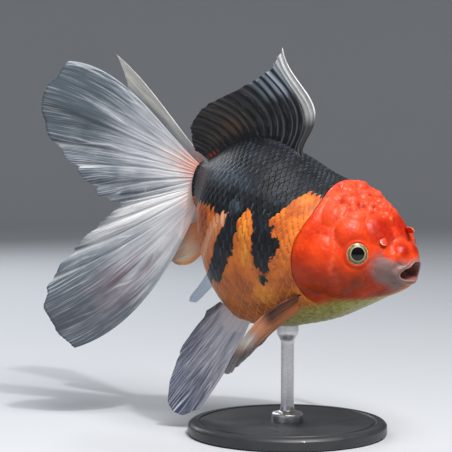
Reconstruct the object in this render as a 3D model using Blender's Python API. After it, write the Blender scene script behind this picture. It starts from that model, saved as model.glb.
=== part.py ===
"""Fancy goldfish of the oranda kind: a still, life-size display model on a plain stand.

The fish is laid out in its own axes as fractions of the body length (snout to tail root):
  along  distance behind the snout,
  out    distance sideways from the middle plane,
  lift   height above the body axis,
  turn   angle round the body: 0 back ridge, 90 right flank, 180 belly, -90 left flank.
place() then pitches and rolls the fish and sets it over the middle of the stand base.
World axes: +X the way the fish heads, +Z up, origin on the floor under the stand base.
"""

import math

import bpy
import numpy as np
from mathutils import Vector
from mathutils.bvhtree import BVHTree

# ---------------------------------------------------------------- driving dimensions (metres, degrees)
BODY = 0.110  # snout to tail root
PITCH = 7.0  # nose down
ROLL = 5.0  # back leans to the fish's right
RIDE_HEIGHT = 0.0742  # body axis, half way along the body, above the floor
FORWARD = 0.004  # the same point ahead of the stand's middle, so that the weight is over the rod
GAP = 0.0003  # thin cut between neighbouring pieces

# Body sections: along, lift of the widest point, height above it, depth below it, half width, peak.
# Peak is 1 for a round back and more for a narrower, roof-like one.
SECTIONS = (
    (0.000, -0.012, 0.026, 0.040, 0.032, 1.00),
    (0.020, -0.010, 0.043, 0.060, 0.052, 1.00),
    (0.045, -0.006, 0.066, 0.081, 0.077, 1.05),
    (0.090, 0.002, 0.110, 0.115, 0.125, 1.15),
    (0.150, 0.008, 0.165, 0.158, 0.184, 1.15),
    (0.225, 0.010, 0.203, 0.204, 0.232, 1.15),
    (0.310, 0.010, 0.220, 0.250, 0.255, 1.15),
    (0.420, 0.015, 0.245, 0.295, 0.272, 1.20),
    (0.540, 0.020, 0.290, 0.333, 0.274, 1.25),
    (0.660, 0.030, 0.300, 0.345, 0.257, 1.25),
    (0.765, 0.045, 0.262, 0.290, 0.206, 1.20),
    (0.850, 0.080, 0.178, 0.155, 0.125, 1.10),
    (0.925, 0.128, 0.088, 0.086, 0.056, 1.00),
)

# Rear edge of the gill covers: turn, along.
GILL_EDGE = (
    (0, 0.316),
    (14, 0.316),
    (23, 0.310),
    (30, 0.302),
    (38, 0.294),
    (45, 0.291),
    (53, 0.294),
    (62, 0.301),
    (72, 0.315),
    (86, 0.325),
    (113, 0.315),
    (135, 0.268),
    (155, 0.236),
    (180, 0.226),
)

# Wen: raised lobes of the head growth as along, turn, radius, height. Each is repeated on the left.
LOBES = (
    (0.240, 96, 0.105, 0.024),  # cheek
    (0.238, 44, 0.050, 0.017),  # above the cheek
    (0.158, 56, 0.052, 0.016),  # brow
    (0.104, 32, 0.052, 0.014),  # forehead
    (0.150, 110, 0.050, 0.012),  # below the eye
    (0.190, 122, 0.050, 0.010),
    (0.030, 42, 0.030, 0.010),  # over the nostril
    (0.062, 92, 0.035, 0.006),  # upper lip cheek
    (0.070, 0, 0.038, 0.006),  # crown, front to back
    (0.120, 0, 0.036, 0.008),
    (0.165, 14, 0.036, 0.010),
    (0.175, 38, 0.036, 0.014),
    (0.215, 0, 0.036, 0.008),
    (0.222, 24, 0.036, 0.014),
    (0.262, 12, 0.036, 0.017),
    (0.292, 10, 0.036, 0.016),
    (0.270, 34, 0.036, 0.011),
)
LOBE_SINK = 0.006  # furrows between lobes lie this far under the smooth section

MOUTH_CORNER = 0.032  # how far the corner of the mouth lies behind the lips
MOUTH_TURN = 112.0
LIP = 0.008  # bulge of the lips
MOUTH_DEPTH = 0.060

EYE_ALONG, EYE_TURN = 0.128, 78.0
EYE_RADIUS = 0.054
EYE_SINK = 0.045  # centre of the eyeball under the skin
SOCKET_GAP = GAP

# Cut between the wen cap and the face, as lift at the snout and rise per unit along.
WEN_CUT_LIFT, WEN_CUT_RISE = 0.078, 0.15
# Gill cover seen from the side: an oval (along, lift, half length, half height), and how deep it reaches.
COVER_OVAL = (0.292, 0.010, 0.108, 0.142)
COVER_INNER = 0.130
STEM_CUT = 0.800  # trunk ends and tail stem starts
STEM_END = 0.925

AROUND_HEAD, AROUND_BODY = 48, 32
FIN_ROOT_THICK, FIN_EDGE_THICK = 0.0011, 0.0006
FIN_LIFT_OFF = 0.0009  # fin root to the skin, more than half the fin's own thickness

STAND_RADIUS, STAND_THICK, STAND_ROUND = 0.038, 0.005, 0.0012
ROD_RADIUS, ROD_FOOT, ROD_FOOT_HIGH = 0.0025, 0.006, 0.003
ROD_PAD, ROD_PAD_HIGH = 0.0042, 0.004
ROD_AHEAD = 0.000


# ---------------------------------------------------------------- scene and materials
def clear():
    for thing in list(bpy.data.objects):
        bpy.data.objects.remove(thing, do_unlink=True)


def material(name, colour, roughness, metallic=0.0, coat=0.0):
    made = bpy.data.materials.new(name)
    made.use_nodes = True
    shader = made.node_tree.nodes["Principled BSDF"]
    shader.inputs["Base Color"].default_value = (*colour, 1.0)
    shader.inputs["Roughness"].default_value = roughness
    shader.inputs["Metallic"].default_value = metallic
    shader.inputs["Coat Weight"].default_value = coat
    made.diffuse_color = (*colour, 1.0)
    return made


def node(name, points, faces, look=None, smooth=True):
    """One object holding one closed mesh, given in world metres."""
    mesh = bpy.data.meshes.new(name)
    mesh.from_pydata([tuple(map(float, p)) for p in points], [], [tuple(map(int, f)) for f in faces])
    mesh.validate()
    thing = bpy.data.objects.new(name, mesh)
    bpy.context.scene.collection.objects.link(thing)
    if look:
        mesh.materials.append(look)
    for polygon in mesh.polygons:
        polygon.use_smooth = smooth
    return thing


# ---------------------------------------------------------------- body surface
def curve_through(rows, position):
    """Smooth curve through evenly counted rows at a fractional row position."""
    rows = np.asarray(rows, float)
    count = len(rows)
    position = np.clip(np.asarray(position, float), 0, count - 1)
    low = np.minimum(position.astype(int), count - 2)
    part = (position - low)[..., None]
    b, c = rows[low], rows[low + 1]
    a = np.where((low > 0)[..., None], rows[np.maximum(low - 1, 0)], 2 * b - c)
    d = np.where((low < count - 2)[..., None], rows[np.minimum(low + 2, count - 1)], 2 * c - b)
    return 0.5 * (
        2 * b + (c - a) * part + (2 * a - 5 * b + 4 * c - d) * part**2 + (3 * b - a - 3 * c + d) * part**3
    )


FINE_POSITION = np.linspace(0, len(SECTIONS) - 1, 600)
FINE_ALONG = curve_through(SECTIONS, FINE_POSITION)[:, 0]


def flesh(along, turn):
    """Point of the smooth body at along and turn (degrees), as (along, out to the right, lift)."""
    along, turn = np.broadcast_arrays(np.asarray(along, float), np.asarray(turn, float))
    row = curve_through(SECTIONS, np.interp(along, FINE_ALONG, FINE_POSITION))
    angle = np.radians(turn)
    up = np.cos(angle)
    side = np.sin(angle)
    narrowing = np.where(up > 0, row[..., 5], 1.0)
    out = row[..., 4] * np.sign(side) * np.abs(side) ** narrowing
    lift = row[..., 1] + np.where(up > 0, row[..., 2], row[..., 3]) * up
    return np.stack([along, out, lift], -1)


def flesh_normal(along, turn):
    ahead, behind = flesh(np.asarray(along) - 0.004, turn), flesh(np.asarray(along) + 0.004, turn)
    before, after = flesh(along, np.asarray(turn) - 2.0), flesh(along, np.asarray(turn) + 2.0)
    normal = np.cross(behind - ahead, after - before)
    return normal / np.linalg.norm(normal, axis=-1, keepdims=True)


def wen_height(points):
    """Swelling of the head growth at points of the smooth body: the lobes, softly joined."""
    total = np.zeros(points.shape[:-1])
    for along, turn, radius, rise in LOBES:
        for side in (1, -1) if turn else (1,):
            centre = flesh(along, turn * side)
            far = np.linalg.norm(points - centre, axis=-1) / radius
            total += (rise * np.clip(1 - far**2, 0, 1) ** 0.7) ** 5
    return total**0.2


def place(points):
    """Fish axes (fractions of the body length) to world metres."""
    points = np.asarray(points, float)
    x, y, z = 0.5 - points[..., 0], -points[..., 1], points[..., 2]
    p, r = math.radians(PITCH), math.radians(ROLL)
    y, z = y * math.cos(r) - z * math.sin(r), y * math.sin(r) + z * math.cos(r)
    x, z = x * math.cos(p) + z * math.sin(p), -x * math.sin(p) + z * math.cos(p)
    return np.stack([x * BODY + FORWARD, y * BODY, z * BODY + RIDE_HEIGHT], -1)


# ---------------------------------------------------------------- closed shapes
def tube(rings, first, last):
    """Closed solid from rings of points, each end closed by a fan to a centre point."""
    count, around = len(rings), len(rings[0])
    points = [p for ring in rings for p in ring] + [first, last]
    start, end = count * around, count * around + 1
    faces = []
    for j in range(around):
        k = (j + 1) % around
        faces.append((start, k, j))
        faces.append((end, (count - 1) * around + j, (count - 1) * around + k))
        for i in range(count - 1):
            faces.append((i * around + j, i * around + k, (i + 1) * around + k, (i + 1) * around + j))
    return points, faces


def block(corners_low, corners_high):
    """Prism between two loops of the same count."""
    count = len(corners_low)
    faces = [tuple(range(count))[::-1], tuple(range(count, 2 * count))]
    for i in range(count):
        j = (i + 1) % count
        faces.append((i, j, count + j, count + i))
    return list(corners_low) + list(corners_high), faces


def outward(thing):
    """Turns the faces so that they point outwards."""
    mesh = thing.data
    volume = 0.0
    for polygon in mesh.polygons:
        corners = [mesh.vertices[i].co for i in polygon.vertices]
        for i in range(1, len(corners) - 1):
            volume += corners[0].dot(corners[i].cross(corners[i + 1]))
    if volume < 0:
        mesh.flip_normals()
    return thing


def cutter(name, points, faces):
    thing = outward(node(name, points, faces, smooth=False))
    thing.hide_render = True
    thing.display_type = "WIRE"
    return thing


def carve(thing, operation, tool):
    step = thing.modifiers.new(operation.lower() + "_" + tool.name, "BOOLEAN")
    step.operation = operation
    step.solver = "EXACT"
    step.object = tool


# ---------------------------------------------------------------- head, trunk and tail stem
def gill_edge(turn):
    turns, alongs = zip(*GILL_EDGE)
    return np.interp(np.abs(turn), turns, alongs)


def mouth_rim(turn):
    return MOUTH_CORNER * np.exp(-(((np.abs(turn) - MOUTH_TURN) / 28.0) ** 2))


def head_rings():
    turn = np.linspace(-180, 180, AROUND_HEAD, endpoint=False)
    rim, edge = mouth_rim(turn), gill_edge(turn)
    rings = []
    for share in np.linspace(0, 1, 24) ** 1.15:
        along = rim + (edge - rim) * share
        base = flesh(along, turn)
        lip = LIP * np.exp(-(((along - rim) / 0.012) ** 2))
        growth = wen_height(base) - LOBE_SINK * np.clip(share * 8, 0, 1)
        rings.append(base + flesh_normal(np.maximum(along, 0.006), turn) * (lip + growth)[:, None])
    axis = np.array([0.0, 0.0, -0.012])
    inside = []
    for inwards, depth in ((0.40, 1.0), (0.52, 0.55), (0.60, 0.12), (0.86, -0.06)):
        ring = rings[0] * np.array([1, inwards, inwards]) + axis * (1 - inwards)
        ring[:, 0] = rings[0][:, 0] + MOUTH_DEPTH * depth
        inside.append(ring)
    return inside + rings


def head_solid():
    rings = head_rings()
    throat = (rings[0][:, 0].mean() + 0.004, 0, -0.012)
    behind = (0.262, 0, 0.0)
    points, faces = tube(rings, throat, behind)
    return place(points), faces


def body_span(start, end, count, behind_start, behind_end):
    """Length of body between two cuts, each given as along or as an array of along per turn."""
    turn = np.linspace(-180, 180, AROUND_BODY, endpoint=False)
    rings = []
    for share in np.linspace(0, 1, count):
        rings.append(flesh(start + (end - start) * share + 0 * turn, turn))
    points, faces = tube(rings, (behind_start, 0, 0.0), (behind_end, 0, rings[-1][:, 2].mean()))
    return place(points), faces


def eye_frame(side):
    """Centre of the eyeball and the way it looks, in fish axes."""
    skin = flesh(EYE_ALONG, EYE_TURN * side)
    look = flesh_normal(EYE_ALONG, EYE_TURN * side)
    look = look / np.linalg.norm(look)
    return skin - look * EYE_SINK, look


def ball(centre, radius, rows, around):
    rings = []
    for i in range(1, rows):
        angle = math.pi * i / rows
        turn = np.linspace(0, 2 * math.pi, around, endpoint=False)
        ring = [math.sin(angle) * np.cos(turn), math.sin(angle) * np.sin(turn), np.cos(angle) + 0 * turn]
        rings.append(centre + radius * np.stack(ring, -1))
    poles = centre + np.array([0, 0, radius]), centre - np.array([0, 0, radius])
    return tube(rings, *poles)


def wen_block(lower_by):
    """Everything above the cut under the wen, lowered by a distance in metres."""
    drop = lower_by / BODY
    low = []
    high = []
    for along, out in ((-0.2, -0.6), (-0.2, 0.6), (0.45, 0.6), (0.45, -0.6)):
        lift = WEN_CUT_LIFT + WEN_CUT_RISE * along - drop
        low.append((along, out, lift))
        high.append((along, out, lift + 0.8))
    points, faces = block(place(low), place(high))
    return points, faces


def cover_block(side, grow):
    """Oval prism round a gill cover, grown by a distance in metres."""
    along, lift, long_half, high_half = COVER_OVAL
    extra = grow / BODY
    inner = []
    outer = []
    for i in range(40):
        a = 2 * math.pi * i / 40
        p = (along + (long_half + extra) * math.cos(a), lift + (high_half + extra) * math.sin(a))
        inner.append((p[0], side * (COVER_INNER - extra), p[1]))
        outer.append((p[0], side * 0.6, p[1]))
    points, faces = block(place(inner), place(outer))
    return points, faces


# ---------------------------------------------------------------- fins
def fin_surface(rows, rays, steps):
    """Grid of points [ray, step] from control rays, each (root, tip, bend) in fish axes."""
    rows = np.asarray(rows, float).reshape(len(rows), 9)
    spread = curve_through(rows, np.linspace(0, len(rows) - 1, rays))
    root, tip, bend = spread[:, None, 0:3], spread[:, None, 3:6], spread[:, None, 6:9]
    share = np.linspace(0, 1, steps)[None, :, None]
    return root + (tip - root) * share + bend * 4 * share * (1 - share)


def fin_solid(name, rows, look, rays=10, steps=7):
    """Thin closed solid about the fin surface, thicker at the root."""
    grid = place(fin_surface(rows, rays, steps))
    across = np.gradient(grid, axis=0)
    outwards = np.gradient(grid, axis=1)
    normal = np.cross(across, outwards)
    normal = normal / np.linalg.norm(normal, axis=-1, keepdims=True)
    thick = np.linspace(FIN_ROOT_THICK, FIN_EDGE_THICK, steps)[None, :, None]
    front, back = grid + normal * thick / 2, grid - normal * thick / 2
    count = rays * steps
    points = list(front.reshape(-1, 3)) + list(back.reshape(-1, 3))
    faces = []

    def at(i, j, under=False):
        return i * steps + j + (count if under else 0)

    for i in range(rays - 1):
        for j in range(steps - 1):
            faces.append((at(i, j), at(i + 1, j), at(i + 1, j + 1), at(i, j + 1)))
            faces.append((at(i, j, 1), at(i, j + 1, 1), at(i + 1, j + 1, 1), at(i + 1, j, 1)))
        faces.append((at(i, 0), at(i, 0, 1), at(i + 1, 0, 1), at(i + 1, 0)))
        faces.append((at(i, steps - 1), at(i + 1, steps - 1), at(i + 1, steps - 1, 1), at(i, steps - 1, 1)))
    for j in range(steps - 1):
        faces.append((at(0, j), at(0, j + 1), at(0, j + 1, 1), at(0, j, 1)))
        faces.append((at(rays - 1, j), at(rays - 1, j, 1), at(rays - 1, j + 1, 1), at(rays - 1, j + 1)))
    return outward(node(name, points, faces, look))


def on_skin(along, turn):
    """Root point just off the skin."""
    return flesh(along, turn) + flesh_normal(along, turn) * FIN_LIFT_OFF / BODY


def rooted(rows, side=1):
    """Control rays from rows of (root along, root turn, tip along, out, lift, bend along, out, lift)."""
    made = []
    for along, turn, *rest in rows:
        tip = [rest[0], rest[1] * side, rest[2]]
        bend = [rest[3], rest[4] * side, rest[5]]
        made.append([*on_skin(along, turn * side), *tip, *bend])
    return made


# root along, root turn, tip along, tip out, tip lift, bend along, out, lift
DORSAL = (
    (0.494, 0, 0.596, 0, 0.650, -0.090, 0, 0.010),
    (0.530, 0, 0.645, 0, 0.585, -0.075, 0, 0.005),
    (0.590, 0, 0.715, 0, 0.536, -0.055, 0, 0.005),
    (0.660, 0, 0.830, 0, 0.476, -0.040, 0, 0.010),
    (0.740, 0, 0.935, 0, 0.420, -0.030, 0, 0.015),
    (0.815, 0, 1.003, 0, 0.345, -0.020, 0, 0.015),
    (0.870, 0, 0.998, 0, 0.298, -0.010, 0, 0.010),
    (0.915, 0, 0.974, 0, 0.252, 0.000, 0, 0.004),
)
PECTORAL_RIGHT = (
    (0.312, 121, 0.527, 0.330, -0.424, -0.008, 0.040, 0.050),
    (0.322, 126, 0.495, 0.318, -0.405, -0.005, 0.030, 0.030),
    (0.332, 131, 0.460, 0.300, -0.360, -0.005, 0.018, 0.012),
    (0.342, 137, 0.415, 0.278, -0.300, 0.000, 0.005, 0.000),
)
# Held back along the far flank.
PECTORAL_LEFT = (
    (0.312, 117, 0.610, 0.385, -0.030, 0.000, 0.030, 0.030),
    (0.322, 123, 0.640, 0.385, -0.100, 0.000, 0.030, 0.020),
    (0.332, 130, 0.605, 0.375, -0.165, 0.000, 0.030, 0.010),
    (0.342, 137, 0.535, 0.355, -0.205, 0.000, 0.030, 0.000),
)
PELVIC_RIGHT = (
    (0.600, 156, 0.745, 0.200, -0.625, -0.010, 0.000, -0.010),
    (0.622, 154, 0.800, 0.228, -0.655, -0.005, 0.000, 0.000),
    (0.646, 152, 0.842, 0.248, -0.625, 0.000, 0.000, 0.000),
    (0.670, 150, 0.845, 0.250, -0.550, 0.000, 0.000, 0.000),
    (0.694, 148, 0.825, 0.240, -0.470, 0.000, 0.000, 0.000),
)
# Folded back under the far side of the belly.
PELVIC_LEFT = (
    (0.600, 156, 0.860, 0.150, -0.350, 0.000, 0.030, -0.030),
    (0.622, 153, 0.900, 0.170, -0.300, 0.000, 0.030, -0.030),
    (0.646, 150, 0.915, 0.185, -0.250, 0.000, 0.030, -0.020),
    (0.670, 147, 0.890, 0.190, -0.210, 0.000, 0.030, -0.010),
)
ANAL_RIGHT = (
    (0.862, 165, 1.010, 0.050, -0.166, -0.012, 0.000, -0.034),
    (0.875, 165, 1.050, 0.048, -0.150, -0.005, 0.000, -0.020),
    (0.890, 165, 1.075, 0.045, -0.110, 0.000, 0.000, -0.008),
    (0.905, 165, 1.060, 0.040, -0.060, 0.000, 0.000, 0.000),
)
ANAL_LEFT = (
    (0.815, 166, 1.010, 0.062, -0.331, 0.000, 0.000, -0.008),
    (0.836, 166, 1.034, 0.062, -0.322, -0.006, 0.000, -0.010),
    (0.857, 166, 1.030, 0.060, -0.300, -0.010, 0.000, -0.014),
)
# Tail fins: root lift, reach behind the root, tip lift, flare right, flare left, upward bend.
TAIL_ROOT, TAIL_OUT = 0.9315, 0.020
CAUDAL_UPPER = (
    (0.206, 0.520, 0.546, 22, 4.5, 0.052),
    (0.198, 0.585, 0.455, 24, 15, 0.030),
    (0.188, 0.610, 0.360, 25, 20, 0.020),
    (0.178, 0.565, 0.253, 26, 24, 0.014),
    (0.167, 0.470, 0.165, 28, 23, 0.006),
    (0.155, 0.375, 0.070, 30, 20, 0.000),
    (0.144, 0.300, 0.052, 32, 17, -0.004),
)
CAUDAL_LOWER = (
    (0.134, 0.295, 0.038, 33, 16, -0.004),
    (0.122, 0.395, -0.060, 35, 13, -0.008),
    (0.109, 0.495, -0.180, 37, 10, -0.014),
    (0.095, 0.550, -0.300, 38, 8, -0.022),
    (0.080, 0.515, -0.410, 40, 6, -0.040),
    (0.062, 0.435, -0.486, 42, 5, -0.085),
)
LEFT_LOWER_DROP = 0.55  # the left lower lobe hangs less


def caudal(rows, side):
    made = []
    for root_lift, reach, tip_lift, right, left, bend in rows:
        flare = math.radians(right if side > 0 else left)
        lift = tip_lift if side > 0 or tip_lift > 0 else tip_lift * LEFT_LOWER_DROP
        root = [TAIL_ROOT, TAIL_OUT * side, root_lift]
        tip = [TAIL_ROOT + reach * math.cos(flare), side * (TAIL_OUT + reach * math.sin(flare)), lift]
        made.append([*root, *tip, -abs(bend) * 0.4, 0.0, bend])
    return made


# ---------------------------------------------------------------- stand
def lathe(profile, around, centre=(0.0, 0.0)):
    """Solid of revolution about a vertical line from (radius, height) rows, low to high."""
    turn = np.linspace(0, 2 * math.pi, around, endpoint=False)
    rings = []
    for radius, height in profile:
        x, y = centre[0] + radius * np.cos(turn), centre[1] + radius * np.sin(turn)
        rings.append(np.stack([x, y, height + 0 * turn], -1))
    return tube(rings, (*centre, profile[0][1]), (*centre, profile[-1][1]))


def rounded_disc(radius, thick, edge):
    profile = []
    for i in range(3):
        a = math.radians(45 * i)
        profile.append((radius - edge + edge * math.sin(a), edge - edge * math.cos(a)))
    for i in range(3):
        a = math.radians(45 * i)
        profile.append((radius - edge + edge * math.cos(a), thick - edge + edge * math.sin(a)))
    return profile


def rod_shape(trunk):
    """Rod whose top pad follows the belly above it at the thin cut's distance."""
    points = [v.co for v in trunk.data.vertices]
    belly = BVHTree.FromPolygons(points, [p.vertices for p in trunk.data.polygons])
    around = 16
    foot = STAND_THICK + GAP
    profile = [(ROD_FOOT, foot), (ROD_FOOT, foot + ROD_FOOT_HIGH), (ROD_RADIUS, foot + ROD_FOOT_HIGH + 0.001)]
    under = belly.ray_cast(Vector((ROD_AHEAD, 0, 0)), Vector((0, 0, 1)))[0].z
    profile.append((ROD_RADIUS, under - ROD_PAD_HIGH - 0.002))
    profile.append((ROD_PAD, under - ROD_PAD_HIGH + 0.001))
    turn = np.linspace(0, 2 * math.pi, around, endpoint=False)
    rings = []
    for radius, height in profile:
        x, y = ROD_AHEAD + radius * np.cos(turn), radius * np.sin(turn)
        rings.append(np.stack([x, y, height + 0 * turn], -1))
    for radius in (ROD_PAD, ROD_PAD * 0.5):
        ring = []
        for a in turn:
            x, y = ROD_AHEAD + radius * math.cos(a), radius * math.sin(a)
            ring.append((x, y, belly.ray_cast(Vector((x, y, 0)), Vector((0, 0, 1)))[0].z - GAP))
        rings.append(np.array(ring))
    return tube(rings, (ROD_AHEAD, 0, foot), (ROD_AHEAD, 0, under - GAP))


# ---------------------------------------------------------------- build
clear()

red = material("wen_red", (0.72, 0.10, 0.03), 0.42, coat=0.3)
orange = material("cheek_orange", (0.78, 0.14, 0.03), 0.40, coat=0.3)
face = material("face_orange", (0.76, 0.20, 0.06), 0.42, coat=0.3)
flank = material("flank_orange", (0.55, 0.22, 0.06), 0.38, coat=0.4)
back = material("stem_black", (0.06, 0.05, 0.05), 0.40, coat=0.4)
eye_black = material("eye_black", (0.01, 0.01, 0.012), 0.08, coat=1.0)
fin_dark = material("dorsal_grey", (0.09, 0.10, 0.12), 0.45)
fin_white = material("fin_white", (0.75, 0.76, 0.80), 0.45)
fin_blue = material("fin_blue_white", (0.50, 0.56, 0.68), 0.45)
fin_orange = material("fin_orange", (0.62, 0.28, 0.14), 0.45)
steel = material("stand_steel", (0.62, 0.62, 0.63), 0.30, metallic=1.0)
base_paint = material("stand_black", (0.03, 0.03, 0.032), 0.45)

head_points, head_faces = head_solid()
wen_above = cutter("cut_wen_above", *wen_block(0.0))
wen_below = cutter("cut_wen_below", *wen_block(GAP))
covers = {}
for side, word in ((1, "right"), (-1, "left")):
    covers[word] = (
        cutter("cut_cover_" + word, *cover_block(side, 0.0)),
        cutter("cut_round_cover_" + word, *cover_block(side, GAP)),
    )
sockets = {}
for side, word in ((1, "right"), (-1, "left")):
    centre, look = eye_frame(side)
    eye_points, eye_faces = ball(np.zeros(3), 1.0, 10, 16)
    eye_points = np.asarray(eye_points)
    made = outward(node("eye_" + word, place(centre + eye_points * EYE_RADIUS), eye_faces, eye_black))
    room = EYE_RADIUS + SOCKET_GAP / BODY
    sockets[word] = cutter("cut_socket_" + word, place(centre + eye_points * room), eye_faces)

head = outward(node("head", head_points, head_faces, face))
carve(head, "DIFFERENCE", wen_below)
for word in ("right", "left"):
    carve(head, "DIFFERENCE", covers[word][1])
    carve(head, "DIFFERENCE", sockets[word])

wen = outward(node("wen", head_points, head_faces, red))
carve(wen, "INTERSECT", wen_above)
for word in ("right", "left"):
    carve(wen, "DIFFERENCE", sockets[word])

for word in ("right", "left"):
    cover = outward(node("gill_cover_" + word, head_points, head_faces, orange))
    carve(cover, "INTERSECT", covers[word][0])
    carve(cover, "DIFFERENCE", wen_below)
    carve(cover, "DIFFERENCE", sockets[word])

turns = np.linspace(-180, 180, AROUND_BODY, endpoint=False)
cut = GAP / BODY
trunk = node("trunk", *body_span(gill_edge(turns) + cut * 1.5, STEM_CUT, 13, 0.262 + cut * 1.5, STEM_CUT), flank)
outward(trunk)
stem_start = STEM_CUT + cut
outward(node("tail_stem", *body_span(stem_start, STEM_END, 5, stem_start, STEM_END), back))

fin_solid("dorsal_fin", rooted(DORSAL), fin_dark, rays=17, steps=7)
fin_solid("pectoral_fin_right", rooted(PECTORAL_RIGHT), fin_orange, rays=9, steps=8)
fin_solid("pectoral_fin_left", rooted(PECTORAL_LEFT, -1), fin_orange, rays=9, steps=8)
fin_solid("pelvic_fin_right", rooted(PELVIC_RIGHT), fin_blue, rays=10, steps=7)
fin_solid("pelvic_fin_left", rooted(PELVIC_LEFT, -1), fin_blue, rays=9, steps=7)
fin_solid("anal_fin_right", rooted(ANAL_RIGHT), fin_orange, rays=7, steps=5)
fin_solid("anal_fin_left", rooted(ANAL_LEFT, -1), fin_blue, rays=7, steps=6)
for side, word in ((1, "right"), (-1, "left")):
    fin_solid("caudal_upper_" + word, caudal(CAUDAL_UPPER, side), fin_white, rays=12, steps=7)
    fin_solid("caudal_lower_" + word, caudal(CAUDAL_LOWER, side), fin_white, rays=12, steps=7)

outward(node("stand_base", *lathe(rounded_disc(STAND_RADIUS, STAND_THICK, STAND_ROUND), 40), base_paint))
outward(node("stand_rod", *rod_shape(trunk), steel))
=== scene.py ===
"""Looks of a fancy goldfish of the oranda kind, as a still, life-size display model on a plain stand.

The shapes use the fish's own axes, as fractions of the body length (snout to tail root):
  along  distance behind the snout,
  out    distance sideways from the middle plane,
  lift   height above the body axis,
  turn   angle round the body in degrees: 0 back ridge, 90 right flank, 180 belly, -90 left flank.
place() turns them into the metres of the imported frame. Heights over the skin are fractions too.
"""

import math

import bpy
import numpy as np
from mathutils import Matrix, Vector


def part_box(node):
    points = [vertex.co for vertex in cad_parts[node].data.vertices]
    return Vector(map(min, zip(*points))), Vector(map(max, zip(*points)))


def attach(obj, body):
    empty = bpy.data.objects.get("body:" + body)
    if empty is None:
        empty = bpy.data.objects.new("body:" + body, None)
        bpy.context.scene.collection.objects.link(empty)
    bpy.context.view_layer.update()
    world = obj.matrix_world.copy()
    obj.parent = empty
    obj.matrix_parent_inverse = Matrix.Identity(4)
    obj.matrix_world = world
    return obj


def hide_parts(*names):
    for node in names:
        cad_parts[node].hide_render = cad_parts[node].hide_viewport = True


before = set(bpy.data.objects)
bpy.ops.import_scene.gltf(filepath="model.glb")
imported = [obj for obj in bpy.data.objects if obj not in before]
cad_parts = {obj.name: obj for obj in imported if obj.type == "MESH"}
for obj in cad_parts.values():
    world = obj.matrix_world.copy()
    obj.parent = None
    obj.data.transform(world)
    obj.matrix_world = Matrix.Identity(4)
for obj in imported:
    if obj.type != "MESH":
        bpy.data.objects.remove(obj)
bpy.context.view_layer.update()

# ---------------- the fish's form
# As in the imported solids, but for the heights of some lobes, the depth of the mouth, the first dorsal rays,
# the last rays of the right pelvic fin, the tip of the left anal fin and the bend of the left tail blades.
BODY = 0.11
PITCH, ROLL = 7.0, 5.0
RIDE_HEIGHT, FORWARD = 0.0742, 0.004
MM = 0.001 / BODY  # one millimetre as a fraction of the body

# along, lift of the widest point, height above it, depth below it, half width, peak of the back
SECTIONS = (
    (0, -0.012, 0.026, 0.04, 0.032, 1), (0.02, -0.01, 0.043, 0.06, 0.052, 1),
    (0.045, -0.006, 0.066, 0.081, 0.077, 1.05), (0.09, 0.002, 0.11, 0.115, 0.125, 1.15),
    (0.15, 0.008, 0.165, 0.158, 0.184, 1.15), (0.225, 0.01, 0.203, 0.204, 0.232, 1.15),
    (0.31, 0.01, 0.22, 0.25, 0.255, 1.15), (0.42, 0.015, 0.245, 0.295, 0.272, 1.2),
    (0.54, 0.02, 0.29, 0.333, 0.274, 1.25), (0.66, 0.03, 0.3, 0.345, 0.257, 1.25),
    (0.765, 0.045, 0.262, 0.29, 0.206, 1.2), (0.85, 0.08, 0.178, 0.155, 0.125, 1.1),
    (0.925, 0.128, 0.088, 0.086, 0.056, 1),
)
TAIL_END = 0.925
# Rear edge of the gill covers: turn, along
GILL_EDGE = (
    (0, 0.316), (14, 0.316), (23, 0.31), (30, 0.302), (38, 0.294), (45, 0.291), (53, 0.294),
    (62, 0.301), (72, 0.315), (86, 0.325), (113, 0.315), (135, 0.268), (155, 0.236), (180, 0.226),
)
# Bumps are rows of along, turn, radius and height, and each off the midline is repeated on the left.
# Big lobes of the head: cheek, above it, brow, forehead, two below the eye, upper lip, nostril, crown
LOBES = (
    (0.24, 96, 0.105, 0.024), (0.238, 44, 0.056, 0.014), (0.158, 56, 0.06, 0.013), (0.104, 32, 0.06, 0.012),
    (0.15, 110, 0.05, 0.012), (0.19, 122, 0.05, 0.01), (0.062, 92, 0.035, 0.006), (0.03, 42, 0.03, 0.01),
    (0.07, 0, 0.038, 0.01), (0.12, 0, 0.036, 0.012), (0.165, 14, 0.036, 0.014), (0.175, 38, 0.036, 0.014),
    (0.215, 0, 0.036, 0.013), (0.222, 24, 0.036, 0.014), (0.262, 12, 0.036, 0.011), (0.27, 34, 0.036, 0.011),
)
LOBE_SINK = 0.006
NOSE_LUMPS = ((0.036, 21, 0.038, 0.014),)  # beside the nostrils
SWELLINGS = (  # wide and low, on the rear crown and the chin
    (0.28, 14, 0.05, 0.011), (0.222, 0, 0.046, -0.011), (0.165, 4, 0.045, -0.007), (0.086, 20, 0.052, -0.012),
    (0.08, 160, 0.04, 0.005),
)
LEFT_HOLLOWS = ((0.15, -54, 0.062, -0.022), (0.225, -36, 0.055, -0.016))  # the lower left brow, not repeated
MOUNDS = ((0.325, 127, 0.034, 0.008), (0.648, 152, 0.04, 0.005), (0.88, 165, 0.03, 0.004))  # fin roots
NODULE_SPACE, NODULE_RISE, NODULE_TRIES = 0.028, 0.01, 9000  # small knobs of the crown
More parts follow.
